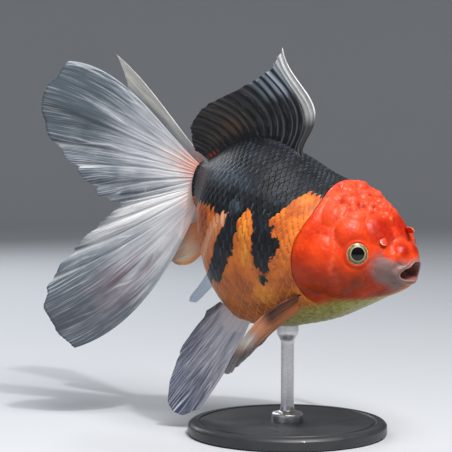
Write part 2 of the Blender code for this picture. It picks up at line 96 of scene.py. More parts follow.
# Folds that part the big lobes of the head, as lines of along and turn, each also on the left
FOLDS = (
    ((0.285, 36), (0.259, 32), (0.235, 33), (0.214, 41), (0.207, 48),
     (0.213, 54), (0.203, 64), (0.19, 77), (0.191, 96), (0.178, 110)),
    ((0.207, 45), (0.174, 35), (0.168, 22), (0.149, 15), (0.128, 5), (0.118, 0)),
    ((0.061, 50), (0.066, 36), (0.068, 20), (0.066, 0)),
)
FOLD_DEPTH, FOLD_WIDTH = 0.006, 0.011
MOUTH_CORNER, MOUTH_TURN, MOUTH_DEPTH, MOUTH_LIFT = 0.032, 112.0, 0.044, -0.012
# Mouth lining from the throat to the lips: size beside the lips, depth in mouth depths
MOUTH_LINING = (
    (0.3, 1.02), (0.52, 1.0), (0.74, 0.55), (0.82, 0.2), (0.855, 0.03),
    (0.88, -0.04), (0.91, -0.07), (0.945, -0.07), (0.98, -0.04), (1.0, 0.0),
)
EYE_ALONG, EYE_TURN, EYE_RADIUS, EYE_SINK = 0.128, 78.0, 0.054, 0.045
EYE_OPENING, LID_WIDTH, LID_RISE = 0.036, 0.004, 0.003
PUPIL, INNER_RING, IRIS, EYE_FLAT = 0.0222, 0.025, 0.0335, 0.0016

# Fins, ray by ray: along and turn of the root, then along, out and lift of the tip and of the bend
DORSAL = (
    (0.494, 0, 0.6, 0, 0.658, -0.086, 0, 0.01), (0.53, 0, 0.645, 0, 0.588, -0.074, 0, 0.005),
    (0.59, 0, 0.715, 0, 0.536, -0.055, 0, 0.005), (0.66, 0, 0.83, 0, 0.476, -0.04, 0, 0.01),
    (0.74, 0, 0.935, 0, 0.42, -0.03, 0, 0.015), (0.815, 0, 1.003, 0, 0.345, -0.02, 0, 0.015),
    (0.87, 0, 0.998, 0, 0.298, -0.01, 0, 0.01), (0.915, 0, 0.974, 0, 0.252, 0, 0, 0.004),
)
PECTORAL_RIGHT = (
    (0.312, 121, 0.527, 0.33, -0.424, -0.008, 0.04, 0.05),
    (0.322, 126, 0.495, 0.318, -0.405, -0.005, 0.03, 0.03),
    (0.332, 131, 0.46, 0.3, -0.36, -0.005, 0.018, 0.012),
    (0.342, 137, 0.415, 0.278, -0.3, 0, 0.005, 0),
)
PECTORAL_LEFT = (
    (0.312, 117, 0.61, 0.385, -0.03, 0, 0.03, 0.03), (0.322, 123, 0.64, 0.385, -0.1, 0, 0.03, 0.02),
    (0.332, 130, 0.605, 0.375, -0.165, 0, 0.03, 0.01), (0.342, 137, 0.535, 0.355, -0.205, 0, 0.03, 0),
)
PELVIC_RIGHT = (
    (0.6, 156, 0.745, 0.2, -0.625, -0.01, 0, -0.01), (0.622, 154, 0.8, 0.228, -0.655, -0.005, 0, 0),
    (0.646, 152, 0.842, 0.248, -0.625, 0, 0, 0), (0.67, 150, 0.845, 0.25, -0.55, 0, 0, 0),
    (0.694, 148, 0.825, 0.24, -0.47, 0, 0, 0), (0.706, 148, 0.775, 0.24, -0.372, 0, 0, 0),
    (0.715, 148, 0.727, 0.235, -0.3, 0, 0, 0), (0.722, 148, 0.705, 0.222, -0.252, 0, 0, 0),
)
PELVIC_LEFT = (
    (0.6, 156, 0.86, 0.15, -0.35, 0, 0.03, -0.03), (0.622, 153, 0.9, 0.17, -0.3, 0, 0.03, -0.03),
    (0.646, 150, 0.915, 0.185, -0.25, 0, 0.03, -0.02), (0.67, 147, 0.89, 0.19, -0.21, 0, 0.03, -0.01),
)
ANAL_RIGHT = (
    (0.862, 165, 1.01, 0.05, -0.166, -0.012, 0, -0.034), (0.875, 165, 1.05, 0.048, -0.15, -0.005, 0, -0.02),
    (0.89, 165, 1.075, 0.045, -0.11, 0, 0, -0.008), (0.905, 165, 1.06, 0.04, -0.06, 0, 0, 0),
)
ANAL_LEFT = (
    (0.815, 166, 0.999, 0.062, -0.328, 0, 0, -0.008), (0.836, 166, 1.034, 0.062, -0.331, -0.006, 0, -0.01),
    (0.857, 166, 1.024, 0.06, -0.3, -0.01, 0, -0.014),
)
# Tail fin of one side, top to bottom: root lift, reach, tip lift, flare right, flare left, upward bend
TAIL_ROOT, TAIL_OUT = 0.9315, 0.02
CAUDAL = (
    (0.206, 0.52, 0.546, 22, 4.5, 0.052), (0.198, 0.585, 0.455, 24, 15, 0.03),
    (0.188, 0.61, 0.36, 25, 20, 0.02), (0.178, 0.565, 0.253, 26, 24, 0.014),
    (0.167, 0.47, 0.165, 28, 23, 0.006), (0.155, 0.375, 0.07, 30, 20, 0),
    (0.144, 0.3, 0.052, 32, 17, -0.004), (0.134, 0.295, 0.038, 33, 16, -0.004),
    (0.122, 0.395, -0.06, 35, 13, -0.008), (0.109, 0.495, -0.18, 37, 10, -0.014),
    (0.095, 0.55, -0.3, 38, 8, -0.022), (0.08, 0.515, -0.41, 40, 6, -0.04),
    (0.062, 0.435, -0.486, 42, 5, -0.085),
)
LEFT_LOWER_DROP, LEFT_UPPER_BEND = 0.55, 0.32
# Folds of the tail, as fin() takes them
TAIL_PLEATS = (
    (0.16, 0.012, 0.5, 0), (0.26, 0.013, 1.0, 0.012), (0.325, 0.013, 1.3, 0.035),
    (0.385, 0.013, 1.6, 0.045), (0.44, 0.014, 1.5, 0.04), (0.59, 0.015, 1.5, 0.045),
    (0.655, 0.014, 1.5, 0.04), (0.725, 0.014, 1.4, 0.035), (0.8, 0.012, 0.9, 0.015),
)
FIN_SHEET = 0.1  # thickness of the fins between their rays, in millimetres
FIN_SUNK = -0.045  # how far the fins reach into the body, in ray lengths
FORK_LENGTH = 0.16  # over which a ray parts in two, in ray lengths
HOOK_PEAK = 0.0346  # highest value of the hooked curve in fin()
MAP_HALF = 0.49  # the share of a fin's map that each of its faces takes

STAND_RADIUS, STAND_THICK, STAND_ROUND = 0.038, 0.005, 0.0012
ROD_RADIUS, ROD_FOOT, ROD_FOOT_HIGH, ROD_PAD, ROD_PAD_HIGH = 0.0025, 0.006, 0.003, 0.0042, 0.004

# ---------------- fineness, skin and scales
AROUND, LINING_RINGS, HEAD_RINGS, TRUNK_RINGS = 376, 26, 170, 56
COAT = 0.35 * MM  # the skin lies this far under the outline, and the scales reach it
ROLL_LENGTH = 0.019  # over which the rear edge of the hood rolls in
PILLOW = 0.009  # height of that edge
# The skin tucked in behind that edge: how far behind it, and how deep
TUCK = ((0.0005, 0.0065), (-0.001, 0.0085), (-0.003, 0.01), (-0.001, 0.0105))
SNOUT_BACK, SNOUT_DROP = 0.012, 0.004  # how far the lips are set back and down
TAIL_CAP = 0.014  # how far the round end of the trunk reaches into the tail
EYE_DIP = 0.075  # radius of the skin that the eye shapes
SEED = 20

SCALE_ROWS, ROW_STEP, ROW_STEP_LOW = 36, 4.6, 5.6  # rows on each side, and degrees between them
SCALE_START, SCALE_END = 0.235, 0.952  # where each row of tips starts and ends
SCALE_PITCH = (  # along, pitch
    (0.22, 0.0165), (0.33, 0.018), (0.45, 0.0195), (0.56, 0.0215), (0.68, 0.0215), (0.8, 0.0185),
    (0.93, 0.014),
)
LONGER_BELOW = ((50, 1.0), (80, 1.25), (103, 1.5), (181, 1.85))  # turn below which the pitch grows so much
SCALE_LENGTH, SCALE_BOW = 2.1, 0.64  # in pitches
SCALE_STEPS, SCALE_ACROSS = 8, 9
SCALE_PIECES = (("scales_front", 0.42), ("scales_middle", 0.6), ("scales_back", 0.74), ("scales_rear", 1.0))

# ---------------- markings, in along and turn
DEGREE = 0.0045  # length of one degree of turn on the flank
PALE_DEGREE = 0.0018  # and on the snout
BLACK_LOOP = (
    (0.2, -40), (0.2, 31), (0.312, 33), (0.355, 34), (0.366, 42), (0.385, 50), (0.396, 58), (0.404, 63),
    (0.436, 66), (0.402, 71), (0.402, 77), (0.366, 79), (0.36, 84), (0.374, 91), (0.4, 98), (0.415, 105),
    (0.428, 107), (0.445, 105), (0.457, 101), (0.46, 96), (0.475, 91), (0.478, 80), (0.484, 70), (0.52, 66),
    (0.545, 74), (0.548, 88), (0.56, 96), (0.6, 105), (0.62, 112), (0.645, 118), (0.69, 124), (0.74, 140),
    (0.79, 158), (0.84, 180), (0.88, 176), (0.83, 150), (0.78, 134), (0.735, 122), (0.689, 109.5),
    (0.658, 100.5), (0.638, 93), (0.612, 85), (0.599, 77), (0.6, 73), (0.625, 76), (0.655, 77), (0.705, 73),
    (0.755, 74), (0.815, 79), (0.85, 90), (0.885, 105), (0.96, 118), (0.96, -64), (0.84, -66), (0.78, -82),
    (0.75, -104), (0.72, -98), (0.69, -76), (0.63, -64), (0.56, -70), (0.53, -92), (0.49, -108),
    (0.465, -92), (0.44, -70), (0.4, -58), (0.35, -44), (0.312, -40),
)
BLACK_SPOTS = (
    (0.43, 111, 0.016, 3.4), (0.5, 77, 0.007, 1.8), (0.452, 131, 0.004, 1.0), (0.86, 112, 0.01, 4.0),
    (0.61, -118, 0.01, 3.0), (0.395, -88, 0.012, 3.5),
)
BARE_SPOTS = ((0.489, 75.5, 0.01, 2.6),)  # orange showing through the black
RUST_OVALS = ((0.725, 84, 0.05, 15), (0.86, 125, 0.045, 22))  # deep rust red in front of the tail
GOLD_OVALS = ((0.512, 80, 0.03, 13), (0.5, 94, 0.035, 12), (0.44, 122, 0.07, 12))
SHEEN_OVALS = ((0.57, 67, 0.04, 7), (0.7, 50, 0.21, 12), (0.86, 45, 0.09, 24))
DEEP_OVALS = ((0.098, 30, 0.055, 40), (0.04, 25, 0.03, 30))  # deep red forehead and nose
# Painted highlight: a pale pink strip about this line, where the rear of the belly catches the light
PINK_HIGHLIGHT_LINE = ((0.603, 75), (0.634, 80), (0.662, 88), (0.69, 97), (0.712, 104), (0.76, 118))
PALE_LOOP = (
    (0.012, 34), (0.021, 61), (0.049, 69), (0.068, 70), (0.082, 67), (0.092, 80), (0.097, 97),
    (0.096, 106), (0.085, 123), (0.069, 138), (0.072, 163), (0.072, 200), (-0.05, 200), (-0.05, 34),
)
# Lower edge of the flank's colours, above the throat: along, turn
THROAT_LINE = ((0.06, 178), (0.12, 158), (0.2, 138), (0.33, 136), (0.5, 160), (0.64, 196))

RED, RED_DARK, RED_DEEP = (0.7, 0.05, 0.004), (0.56, 0.028, 0.003), (0.36, 0.009, 0.001)
# The lower cheek and lower flank colours are the skin's browner tone, darkened further by painted shade on
# the underside.
CROWN, WEN_PALE, CHEEK_BROWN_AND_SHADE = (0.76, 0.092, 0.036), (0.76, 0.16, 0.08), (0.17, 0.022, 0.002)
ORANGE, ORANGE_DEEP, FLANK_BROWN_AND_SHADE = (0.78, 0.18, 0.022), (0.46, 0.08, 0.012), (0.29, 0.082, 0.011)
# The pink is that of the painted highlight along the rear of the belly.
RUST, GOLD, PINK_HIGHLIGHT = (0.3, 0.04, 0.006), (0.9, 0.3, 0.03), (0.86, 0.4, 0.23)
THROAT, THROAT_PALE = (0.19, 0.18, 0.032), (0.34, 0.31, 0.1)
SNOUT, SNOUT_GREY = (0.25, 0.155, 0.135), (0.15, 0.12, 0.112)
# The mouth's lining, and the same darkened by painted shade deep in the mouth
MOUTH, MOUTH_DEEP_SHADE = (0.32, 0.185, 0.165), (0.24, 0.1, 0.085)
BLACK, SLATE, BLUE_GREY = (0.005, 0.006, 0.007), (0.012, 0.014, 0.018), (0.085, 0.108, 0.14)


# ---------------- body surface
def curve_through(rows, position):
    """Smooth curve through evenly counted rows at a fractional row position."""
    rows = np.asarray(rows, float)
    last = len(rows) - 1
    rows = np.concatenate([[2 * rows[0] - rows[1]], rows, [2 * rows[last] - rows[last - 1]]])
    position = np.clip(np.asarray(position, float), 0, last)
    low = np.minimum(position.astype(int), last - 1)
    part = (position - low)[..., None]
    a, b, c, d = (rows[low + further] for further in range(4))
    return 0.5 * (
        2 * b + (c - a) * part + (2 * a - 5 * b + 4 * c - d) * part**2 + (3 * b - a - 3 * c + d) * part**3
    )


FINE_POSITION = np.linspace(0, len(SECTIONS) - 1, 600)
FINE_ALONG = curve_through(SECTIONS, FINE_POSITION)[:, 0]


def flesh(along, turn):
    """Point of the smooth body at along and turn, as (along, out to the right, lift)."""
    along, turn = np.broadcast_arrays(np.asarray(along, float), np.asarray(turn, float))
    row = curve_through(SECTIONS, np.interp(along, FINE_ALONG, FINE_POSITION))
    angle = np.radians(turn)
    up, side = np.cos(angle), np.sin(angle)
    narrowing = np.where(up > 0, row[..., 5], 1.0)
    out = row[..., 4] * np.sign(side) * np.abs(side) ** narrowing
    lift = row[..., 1] + np.where(up > 0, row[..., 2], row[..., 3]) * up
    return np.stack([along, out, lift], -1)


def flesh_normal(along, turn):
    ahead, behind = flesh(np.asarray(along) - 0.004, turn), flesh(np.asarray(along) + 0.004, turn)
    before, after = flesh(along, np.asarray(turn) - 2.0), flesh(along, np.asarray(turn) + 2.0)
    normal = np.cross(behind - ahead, after - before)
    return normal / np.linalg.norm(normal, axis=-1, keepdims=True)


def above(along, turn, height):
    """Point at a height over the smooth body."""
    return flesh(along, turn) + flesh_normal(along, turn) * np.asarray(height)[..., None]


def place(points):
    """Fish axes to the frame's metres."""
    points = np.asarray(points, float)
    x, y, z = 0.5 - points[..., 0], -points[..., 1], points[..., 2]
    p, r = math.radians(PITCH), math.radians(ROLL)
    y, z = y * math.cos(r) - z * math.sin(r), y * math.sin(r) + z * math.cos(r)
    x, z = x * math.cos(p) + z * math.sin(p), -x * math.sin(p) + z * math.cos(p)
    return np.stack([x * BODY + FORWARD, y * BODY, z * BODY + RIDE_HEIGHT], -1)


def ease(value, low, high):
    """0 below low, 1 above high and smooth between."""
    share = np.clip((np.asarray(value, float) - low) / (high - low), 0, 1)
    return share * share * (3 - 2 * share)


def bell(value, middle, width):
    return np.exp(-(((value - middle) / width) ** 2))


def gill_edge(turn):
    """Where the rear edge of the hood lies, the mean of a few turns so that its corners are soft."""
    total = 0
    for shift in (-12, -6, 0, 6, 12):
        away = np.abs((np.asarray(turn) + shift + 180) % 360 - 180)
        total = total + np.interp(away, *zip(*GILL_EDGE))
    return total / 5


def mouth_rim(turn):
    return MOUTH_CORNER * bell(np.abs(turn), MOUTH_TURN, 28.0)


def both_sides(rows):
    """Rows of along, turn, radius and height, with each row off the midline repeated on the left."""
    return tuple(rows) + tuple((along, -turn, *rest) for along, turn, *rest in rows if turn)


def joined_heights(points, caps, power, sharp):
    """Caps, each (centre, radius, height): a high power parts them clearly, a low sharp makes them round."""
    total = np.zeros(points.shape[:-1])
    for centre, radius, rise in caps:
        far = ((points - centre) ** 2).sum(-1) / radius**2
        total += (rise * np.clip(1 - far, 0, 1) ** sharp) ** power
    return total ** (1 / power)


def swelling(points, rows):
    """Sum of wide low bells, each a row of along, turn, radius and height."""
    total = np.zeros(points.shape[:-1])
    for along, turn, radius, rise in rows:
        total += rise * np.exp(-((points - flesh(along, turn)) ** 2).sum(-1) / radius**2)
    return total


def nearest_squared(points, line):
    """Square of the distance from points to a line through spots, in two or three dimensions."""
    nearest = np.full(points.shape[:-1], np.inf)
    for a, b in zip(line, line[1:]):
        share = np.clip((points - a) @ (b - a) / ((b - a) @ (b - a)), 0, 1)
        nearest = np.minimum(nearest, ((points - a - share[..., None] * (b - a)) ** 2).sum(-1))
    return nearest


def fold_share(points):
    """1 at the bottom of the folds between the lobes of the head, 0 away from them."""
    nearest = np.full(points.shape[:-1], np.inf)
    for line in FOLDS:
        for side in (1, -1):
            spots = [flesh(along, turn * side) for along, turn in line]
            nearest = np.minimum(nearest, nearest_squared(points, spots))
    return np.exp(-nearest / FOLD_WIDTH**2)


def roughness_of_wen(along, turn):
    """How knobbly the head growth is: most on the crown, least on the forehead and cheeks."""
    away = np.abs(turn)
    return 0.12 + 0.88 * (1 - ease(away, 32, 46)) * ease(along - 0.0016 * away, 0.095, 0.135)


def nodules(rng):
    """Small knobs scattered over the growth, no two too close."""
    made = []
    centres = np.zeros((0, 3))
    for _ in range(NODULE_TRIES):
        along, turn = rng.uniform(0.045, 0.3), rng.uniform(-125, 125)
        size = rng.uniform(0.8, 1.3)
        centre = flesh(along, turn)
        space = NODULE_SPACE * size * (1.4 if abs(turn) > 55 else 1.0)
        if len(centres) and np.linalg.norm(centres - centre, axis=1).min() < space:
            continue
        centres = np.vstack([centres, centre])
        made.append((centre, space * 0.8, NODULE_RISE * rng.uniform(0.8, 1.1)))
    return made


def body_rise(along, turn):
    """Low swellings of the trunk: fleshy fin roots and the ridge that carries the dorsal fin."""
    ridge = 0.007 * bell(turn, 0, 3.5) * ease(along, 0.47, 0.51) * (1 - ease(along, 0.9, 0.94))
    return ridge + swelling(flesh(along, turn), both_sides(MOUNDS))


# ---------------- marking fields
def inside_loop(loop, along, turn, degree=DEGREE):
    """Distance inside a closed loop on the unrolled skin, negative outside."""
    x, y = along, turn * degree
    corners = np.array([*loop, loop[0]]) * (1, degree)
    inside = np.zeros(x.shape, bool)
    for (ax, ay), (bx, by) in zip(corners, corners[1:]):
        if by != ay:
            inside ^= ((ay > y) != (by > y)) & (x < ax + (y - ay) / (by - ay) * (bx - ax))
    return np.where(inside, 1, -1) * np.sqrt(nearest_squared(np.stack([x, y], -1), corners))


def inside_oval(oval, along, turn):
    """1 at the middle of an oval, 0 at its edge and negative outside."""
    along_mid, turn_mid, along_half, turn_half = oval
    return 1 - np.hypot((along - along_mid) / along_half, (turn - turn_mid) / turn_half)


def ovals(rows, along, turn):
    return ease(np.maximum.reduce([inside_oval(row, along, turn) for row in rows]), 0.0, 0.75)


def black_field(along, turn):
    """Positive inside the black saddle, its bands and spots; 1 is 2 mm inside."""
    field = inside_loop(BLACK_LOOP, along, turn)
    for spot in BARE_SPOTS:
        field = np.minimum(field, -0.01 * inside_oval(spot, along, turn))
    for spot in BLACK_SPOTS:
        field = np.maximum(field, 0.01 * inside_oval(spot, along, turn))
    return np.clip(field / 0.018, -1, 1)


def markings(along, turn, hood):
    """Every colour field that skin and scales carry, by name, painted shade towards the belly and a painted
    highlight strip among them.
    """
    away = np.abs(turn)
    limit = np.interp(along, *zip(*THROAT_LINE))
    line = np.array(PINK_HIGHLIGHT_LINE) * (1, DEGREE)
    strip = nearest_squared(np.stack([along, turn * DEGREE], -1), line)
    return {
        "hood": hood + 0 * along,
        # darker towards the belly: the skin's browner tone and painted shade
        "low": ease(away, 80, 118) * hood + ease(away, 88, 150) * (1 - hood),
        "throat": ease(away, limit - 9, limit + 9),
        "pale": np.clip(0.5 + inside_loop(PALE_LOOP, along, away, PALE_DEGREE) / 0.045, 0, 1) * hood,
        "deep": ovals(DEEP_OVALS, along, away),
        "rust": ovals(RUST_OVALS, along, away),
        "crown": (1 - ease(away, 38, 62)) * ease(along, 0.12, 0.17),
        "gold": ovals(GOLD_OVALS, along, away),
        "pink": np.exp(-strip / 0.017**2),
        "black": black_field(along, turn) * (1 - hood) - hood,
        "sheen": ovals(SHEEN_OVALS, along, away),
    }


# ---------------- mesh pieces
def grid_faces(rows, columns, wrap=False):
    """Quads of a grid of points [row, column], and every corner's place in the grid, 0 to 1."""
    across = columns if wrap else columns - 1
    i, j = np.meshgrid(np.arange(rows - 1), np.arange(across), indexing="ij")
    i, j = i.ravel(), j.ravel()
    k = (j + 1) % columns
    quads = np.stack([i * columns + j, i * columns + k, (i + 1) * columns + k, (i + 1) * columns + j], -1)
    u = np.stack([i, i, i + 1, i + 1], -1) / (rows - 1)
    v = np.stack([j, j + 1, j + 1, j], -1) / across
    return quads, np.stack([u, v], -1)


def tube_faces(rows, around):
    """Groups of a closed tube: rings of points, then one point to close the first ring, one for the last."""
    groups = [grid_faces(rows, around, wrap=True)]
    ring = np.arange(around)
    spot = np.linspace(0, 1, around, endpoint=False)
    for end, order in ((0, ring[::-1]), (1, ring)):
        corners = order + end * (rows - 1) * around
        faces = np.stack([np.full(around, rows * around + end), corners, np.roll(corners, -1)], -1)
        rim = np.stack([np.full(around, end), spot[order]], -1)
        middle = np.broadcast_to((end, 0.5), rim.shape)
        groups.append((faces, np.stack([middle, rim, np.roll(rim, -1, axis=0)], 1)))
    return groups


def sheet_faces(rows, columns):
    """Groups of a closed sheet between two grids of points: its front, its back and its narrow sides."""
    one = rows * columns
    front, places = grid_faces(rows, columns)
    ids = np.arange(one).reshape(rows, columns)
    loop = np.concatenate([ids[0, :-1], ids[:-1, -1], ids[-1, :0:-1], ids[:0:-1, 0]])
    after = np.roll(loop, -1)
    sides = np.stack([loop, loop + one, after + one, after], -1)
    where = np.stack(np.divmod(np.arange(one), columns), -1) / (rows - 1, columns - 1)
    return [(front, places), (front[:, ::-1] + one, places[:, ::-1]), (sides, where[sides % one])]


def volume_of(points, faces):
    a, b, c = points[faces[:, 0]], points[faces[:, 1]], points[faces[:, 2]]
    total = (a * np.cross(b, c)).sum()
    if faces.shape[1] == 4:
        total += (a * np.cross(c, points[faces[:, 3]])).sum()
    return total


def add_object(name, data):
    thing = bpy.data.objects.new(name, data)
    bpy.context.scene.collection.objects.link(thing)
    return thing


def piece(name, points, groups, look, slot, fields=None, replaces=()):
    """One smooth mesh from world points and groups of (faces, corner places), riding on the fish.

    fields are numbers by point for the materials. replaces names the CAD nodes that the piece stands for.
    """
    points = np.ascontiguousarray(points, np.float64)
    if sum(volume_of(points, faces) for faces, _ in groups) < 0:
        groups = [(faces[:, ::-1], places[:, ::-1]) for faces, places in groups]
    mesh = bpy.data.meshes.new(name)
    mesh.vertices.add(len(points))
    mesh.vertices.foreach_set("co", points.astype(np.float32).ravel())
    corners = np.concatenate([faces.ravel() for faces, _ in groups]).astype(np.int32)
    counts = np.concatenate([np.full(len(faces), faces.shape[1]) for faces, _ in groups])
    mesh.loops.add(len(corners))
    mesh.loops.foreach_set("vertex_index", corners)
    mesh.polygons.add(len(counts))
    mesh.polygons.foreach_set("loop_start", np.concatenate([[0], np.cumsum(counts)[:-1]]).astype(np.int32))
    mesh.update(calc_edges=True)
    mesh.polygons.foreach_set("use_smooth", np.ones(len(counts), bool))
    unwrap = mesh.uv_layers.new(name="OFBake")
    places = np.concatenate([p.reshape(-1, 2) for _, p in groups])
    unwrap.data.foreach_set("uv", np.clip(places, 0, 1).astype(np.float32).ravel())
    for key, values in (fields or {}).items():
        made = mesh.attributes.new(key, "FLOAT", "POINT")
        made.data.foreach_set("value", np.asarray(values, np.float32).ravel())
    mesh.materials.append(look)
    thing = add_object(name, mesh)
    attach(thing, "root")
    if replaces:
        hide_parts(*replaces)


def tube(name, rings, poles, *rest):
    """A closed piece from rings of points and the two points that close the first and the last ring."""
    points = np.concatenate([rings.reshape(-1, 3), poles])
    piece(name, points, tube_faces(*rings.shape[:2]), *rest)


def circle(around):
    """Points of a circle, as cosines and sines."""
    turn = np.linspace(0, 2 * math.pi, around, endpoint=False)
    return np.cos(turn), np.sin(turn)


def turned(profile, around):
    """Rings of points about the upright axis, from a profile of (radius, height)."""
    x, y = circle(around)
    return np.stack([profile[:, :1] * x, profile[:, :1] * y, profile[:, 1:] + 0 * x], -1)


# ---------------- skin
def eye_frame(side):
    """Centre of the eyeball and the way it looks, in fish axes."""
    look = flesh_normal(EYE_ALONG, EYE_TURN * side)
    return flesh(EYE_ALONG, EYE_TURN * side) - look * EYE_SINK, look


def open_for_eyes(points):
    """Lets the skin dip under each eyeball and raises a lid ring round it."""
    for side in (1, -1):
        centre, look = eye_frame(side)
        away = points - centre
        depth = away @ look
        beside = np.linalg.norm(away - depth[..., None] * look, axis=-1)
        near = (beside < EYE_DIP) & (depth > 0)
        ball = np.sqrt(np.clip(EYE_RADIUS**2 - beside**2, 0, None))
        level = ball[near & (np.abs(beside - EYE_OPENING) < 0.003)].mean()
        wanted = depth + (level - depth) * bell(beside, EYE_OPENING, 0.014) * near
        wanted = wanted + LID_RISE * bell(beside, EYE_OPENING + 0.6 * LID_WIDTH, LID_WIDTH) * near
        wanted = wanted - 0.002 * bell(beside, EYE_OPENING + 0.013, 0.006) * near
        sunk = ball - 0.004 - 0.006 * ease(EYE_OPENING - beside, 0, 0.01)
        inner = near & (beside < EYE_OPENING)
        blend = ease(EYE_OPENING - beside, 0.0, 0.0035)
        wanted = np.where(inner, wanted + (np.minimum(sunk, wanted) - wanted) * blend, wanted)
        points = points + ((wanted - depth) * near)[..., None] * look
    return points


def head_surface(turn, knobs):
    """Rings of the head from the lips to the rear edge of the hood, with their furrows."""
    rim, edge = mouth_rim(turn), gill_edge(turn)
    share = (np.linspace(0, 1, HEAD_RINGS) ** 1.12)[:, None]
    along = rim + (edge - rim) * share
    base = flesh(along, turn)
    lips = 0.005 * bell(along - rim, 0.006, 0.008) - 0.003 * bell(along - rim, 0.024, 0.008)
    lumps = both_sides(LOBES + NOSE_LUMPS)
    caps = [(flesh(middle, at), radius, rise) for middle, at, radius, rise in lumps]
    lobes = joined_heights(base, caps, 3.2, 1.0) + swelling(base, both_sides(SWELLINGS) + LEFT_HOLLOWS)
    knob = joined_heights(base, knobs, 6, 0.75)
    rough = roughness_of_wen(along, turn)
    bare_throat = 1 - ease(np.abs(turn), 128, 150)
    creased = fold_share(base) * np.clip(share * 12, 0, 1)
    growth = lobes - 0.6 * LOBE_SINK * np.clip(share * 8, 0, 1) * bare_throat - FOLD_DEPTH * creased
    growth = growth + (knob - 0.65 * NODULE_RISE) * rough
    fold = 1 - ease(np.abs(turn), 112, 138)
    back = (edge - along) / ROLL_LENGTH
    growth = np.maximum(growth, fold * (PILLOW - 0.03 * ease(back, 0.5, 5.0)))
    rolled = np.sqrt(1 - (1 - np.clip(back, 0, 1)) ** 2)
    low = -COAT - 0.001
    height = (lips + growth) * (1 - fold) + (low + (lips + growth - low) * rolled) * fold
    points = base + flesh_normal(np.maximum(along, 0.006), turn) * height[..., None]
    points[..., 0] += SNOUT_BACK * (1 - ease(along, 0.0, 0.05))
    points[..., 2] -= SNOUT_DROP * (1 - ease(along, 0.0, 0.06))
    # Painted shade: 1 in the valleys between the knobs, where the colour is darkened
    furrow = (1 - np.clip(knob / (0.9 * NODULE_RISE), 0, 1)) * rough
    return along, points, furrow, creased, fold


def skin(look, rng):
    """One closed skin from the throat to the tail root. Gives where in its map the trunk starts."""
    turn = np.linspace(-180, 180, AROUND, endpoint=False)
    along, head, furrow, crease, fold = head_surface(turn, nodules(rng))
    head = open_for_eyes(head)
    axis = np.array([0.0, 0.0, MOUTH_LIFT])
    lining = []
    inside = np.linspace(0, len(MOUTH_LINING) - 1, LINING_RINGS + 1)[:-1]
    for inwards, depth in curve_through(MOUTH_LINING, inside):
        ring = head[0] * np.array([1, inwards, inwards]) + axis * (1 - inwards)
        ring[:, 0] = head[0][:, 0] + MOUTH_DEPTH * depth
        lining.append(ring)
    edge = gill_edge(turn)
    tuck = [above(edge + back * fold, turn, -COAT - (deep - COAT) * fold) for back, deep in TUCK]
    share = (np.linspace(0, 1, TRUNK_RINGS + 1)[1:] ** 1.2)[:, None]
    trunk_along = edge + (TAIL_END - edge) * share
    depth = -COAT - 0.0065 * fold * np.exp(-(trunk_along - edge) / 0.0045) + body_rise(trunk_along, turn)
    trunk = above(trunk_along, turn, depth)
    middle = trunk[-1].mean(axis=0)
    cap = []
    for out in (0.3, 0.55, 0.75, 0.9, 0.98):
        ring = middle + (trunk[-1] - middle) * math.sqrt(1 - out**2)
        ring[:, 0] = trunk[-1][:, 0] + TAIL_CAP * out
        cap.append(ring)
    parts = (  # rings, then their along, hood, mouth, furrow and crease
        (np.array(lining), head[0][:, 0], 1, np.linspace(1, 0.05, LINING_RINGS)[:, None], 0, 0),
        (head, along, 1, 0, furrow, crease),
        (np.array(tuck), edge, 1, 0, 0, 0),
        (trunk, trunk_along, 0, 0, 0, 0),
        (np.array(cap), TAIL_END, 0, 0, 0, 0),
    )
    rings = np.concatenate([part[0] for part in parts])
    all_along, hood, mouth, furrows, creases = (
        np.concatenate([np.broadcast_to(part[column], part[0].shape[:2]) for part in parts])
        for column in range(1, 6)
    )
    hood = hood * (1 - ease(np.abs(turn), 150, 168))
    fields = markings(all_along, np.broadcast_to(turn, all_along.shape), hood)
    lips = 1 - ease(all_along - mouth_rim(turn), 0.004, 0.013)
    fields["pale"] = np.maximum(fields["pale"], 0.75 * lips)
    fields |= {"furrow": furrows, "crease": creases, "mouth": mouth}
    fields = {key: np.append(values.ravel(), values.ravel()[[0, -1]]) for key, values in fields.items()}
    throat = [rings[0][:, 0].mean() + 0.004, 0, MOUTH_LIFT]
    tail = [TAIL_END + TAIL_CAP + 0.0005, middle[1], middle[2]]
    replaces = ("head", "wen", "gill_cover_right", "gill_cover_left", "trunk", "tail_stem")
    tube("skin", place(rings), place([throat, tail]), look, "flank_orange", fields, replaces)
    return (LINING_RINGS + HEAD_RINGS + len(TUCK)) / (len(rings) - 1)


# ---------------- scales
def scale_seeds():
    """Rear tip, turn, pitch and row step of every scale: each row's tips fall between its neighbours'."""
    fine = np.linspace(0, 180, 721)
    step = ROW_STEP + (ROW_STEP_LOW - ROW_STEP) * ease(fine, 40, 105)
    passed = np.concatenate([[0], np.cumsum(0.5 / step[1:] + 0.5 / step[:-1])])
    turns = np.interp(np.linspace(0, passed[-1], SCALE_ROWS + 1), passed, fine)
    made = []
    for row, turn in enumerate(turns):
        longer = next(factor for limit, factor in LONGER_BELOW if turn < limit)
        tip, late = SCALE_START, row % 2
        while tip < SCALE_END:
            size = longer * float(np.interp(tip, *zip(*SCALE_PITCH)))
            shown = tip + 0.5 * size * late
            if shown > gill_edge(turn) + 0.006:
                for side in (1, -1) if 0 < row < SCALE_ROWS else (1,):
                    made.append((shown, turn * side, size, float(np.interp(turn, fine, step))))
            tip += size
    made = np.array(made)
    return made[np.argsort(made[:, 0], kind="stable")]


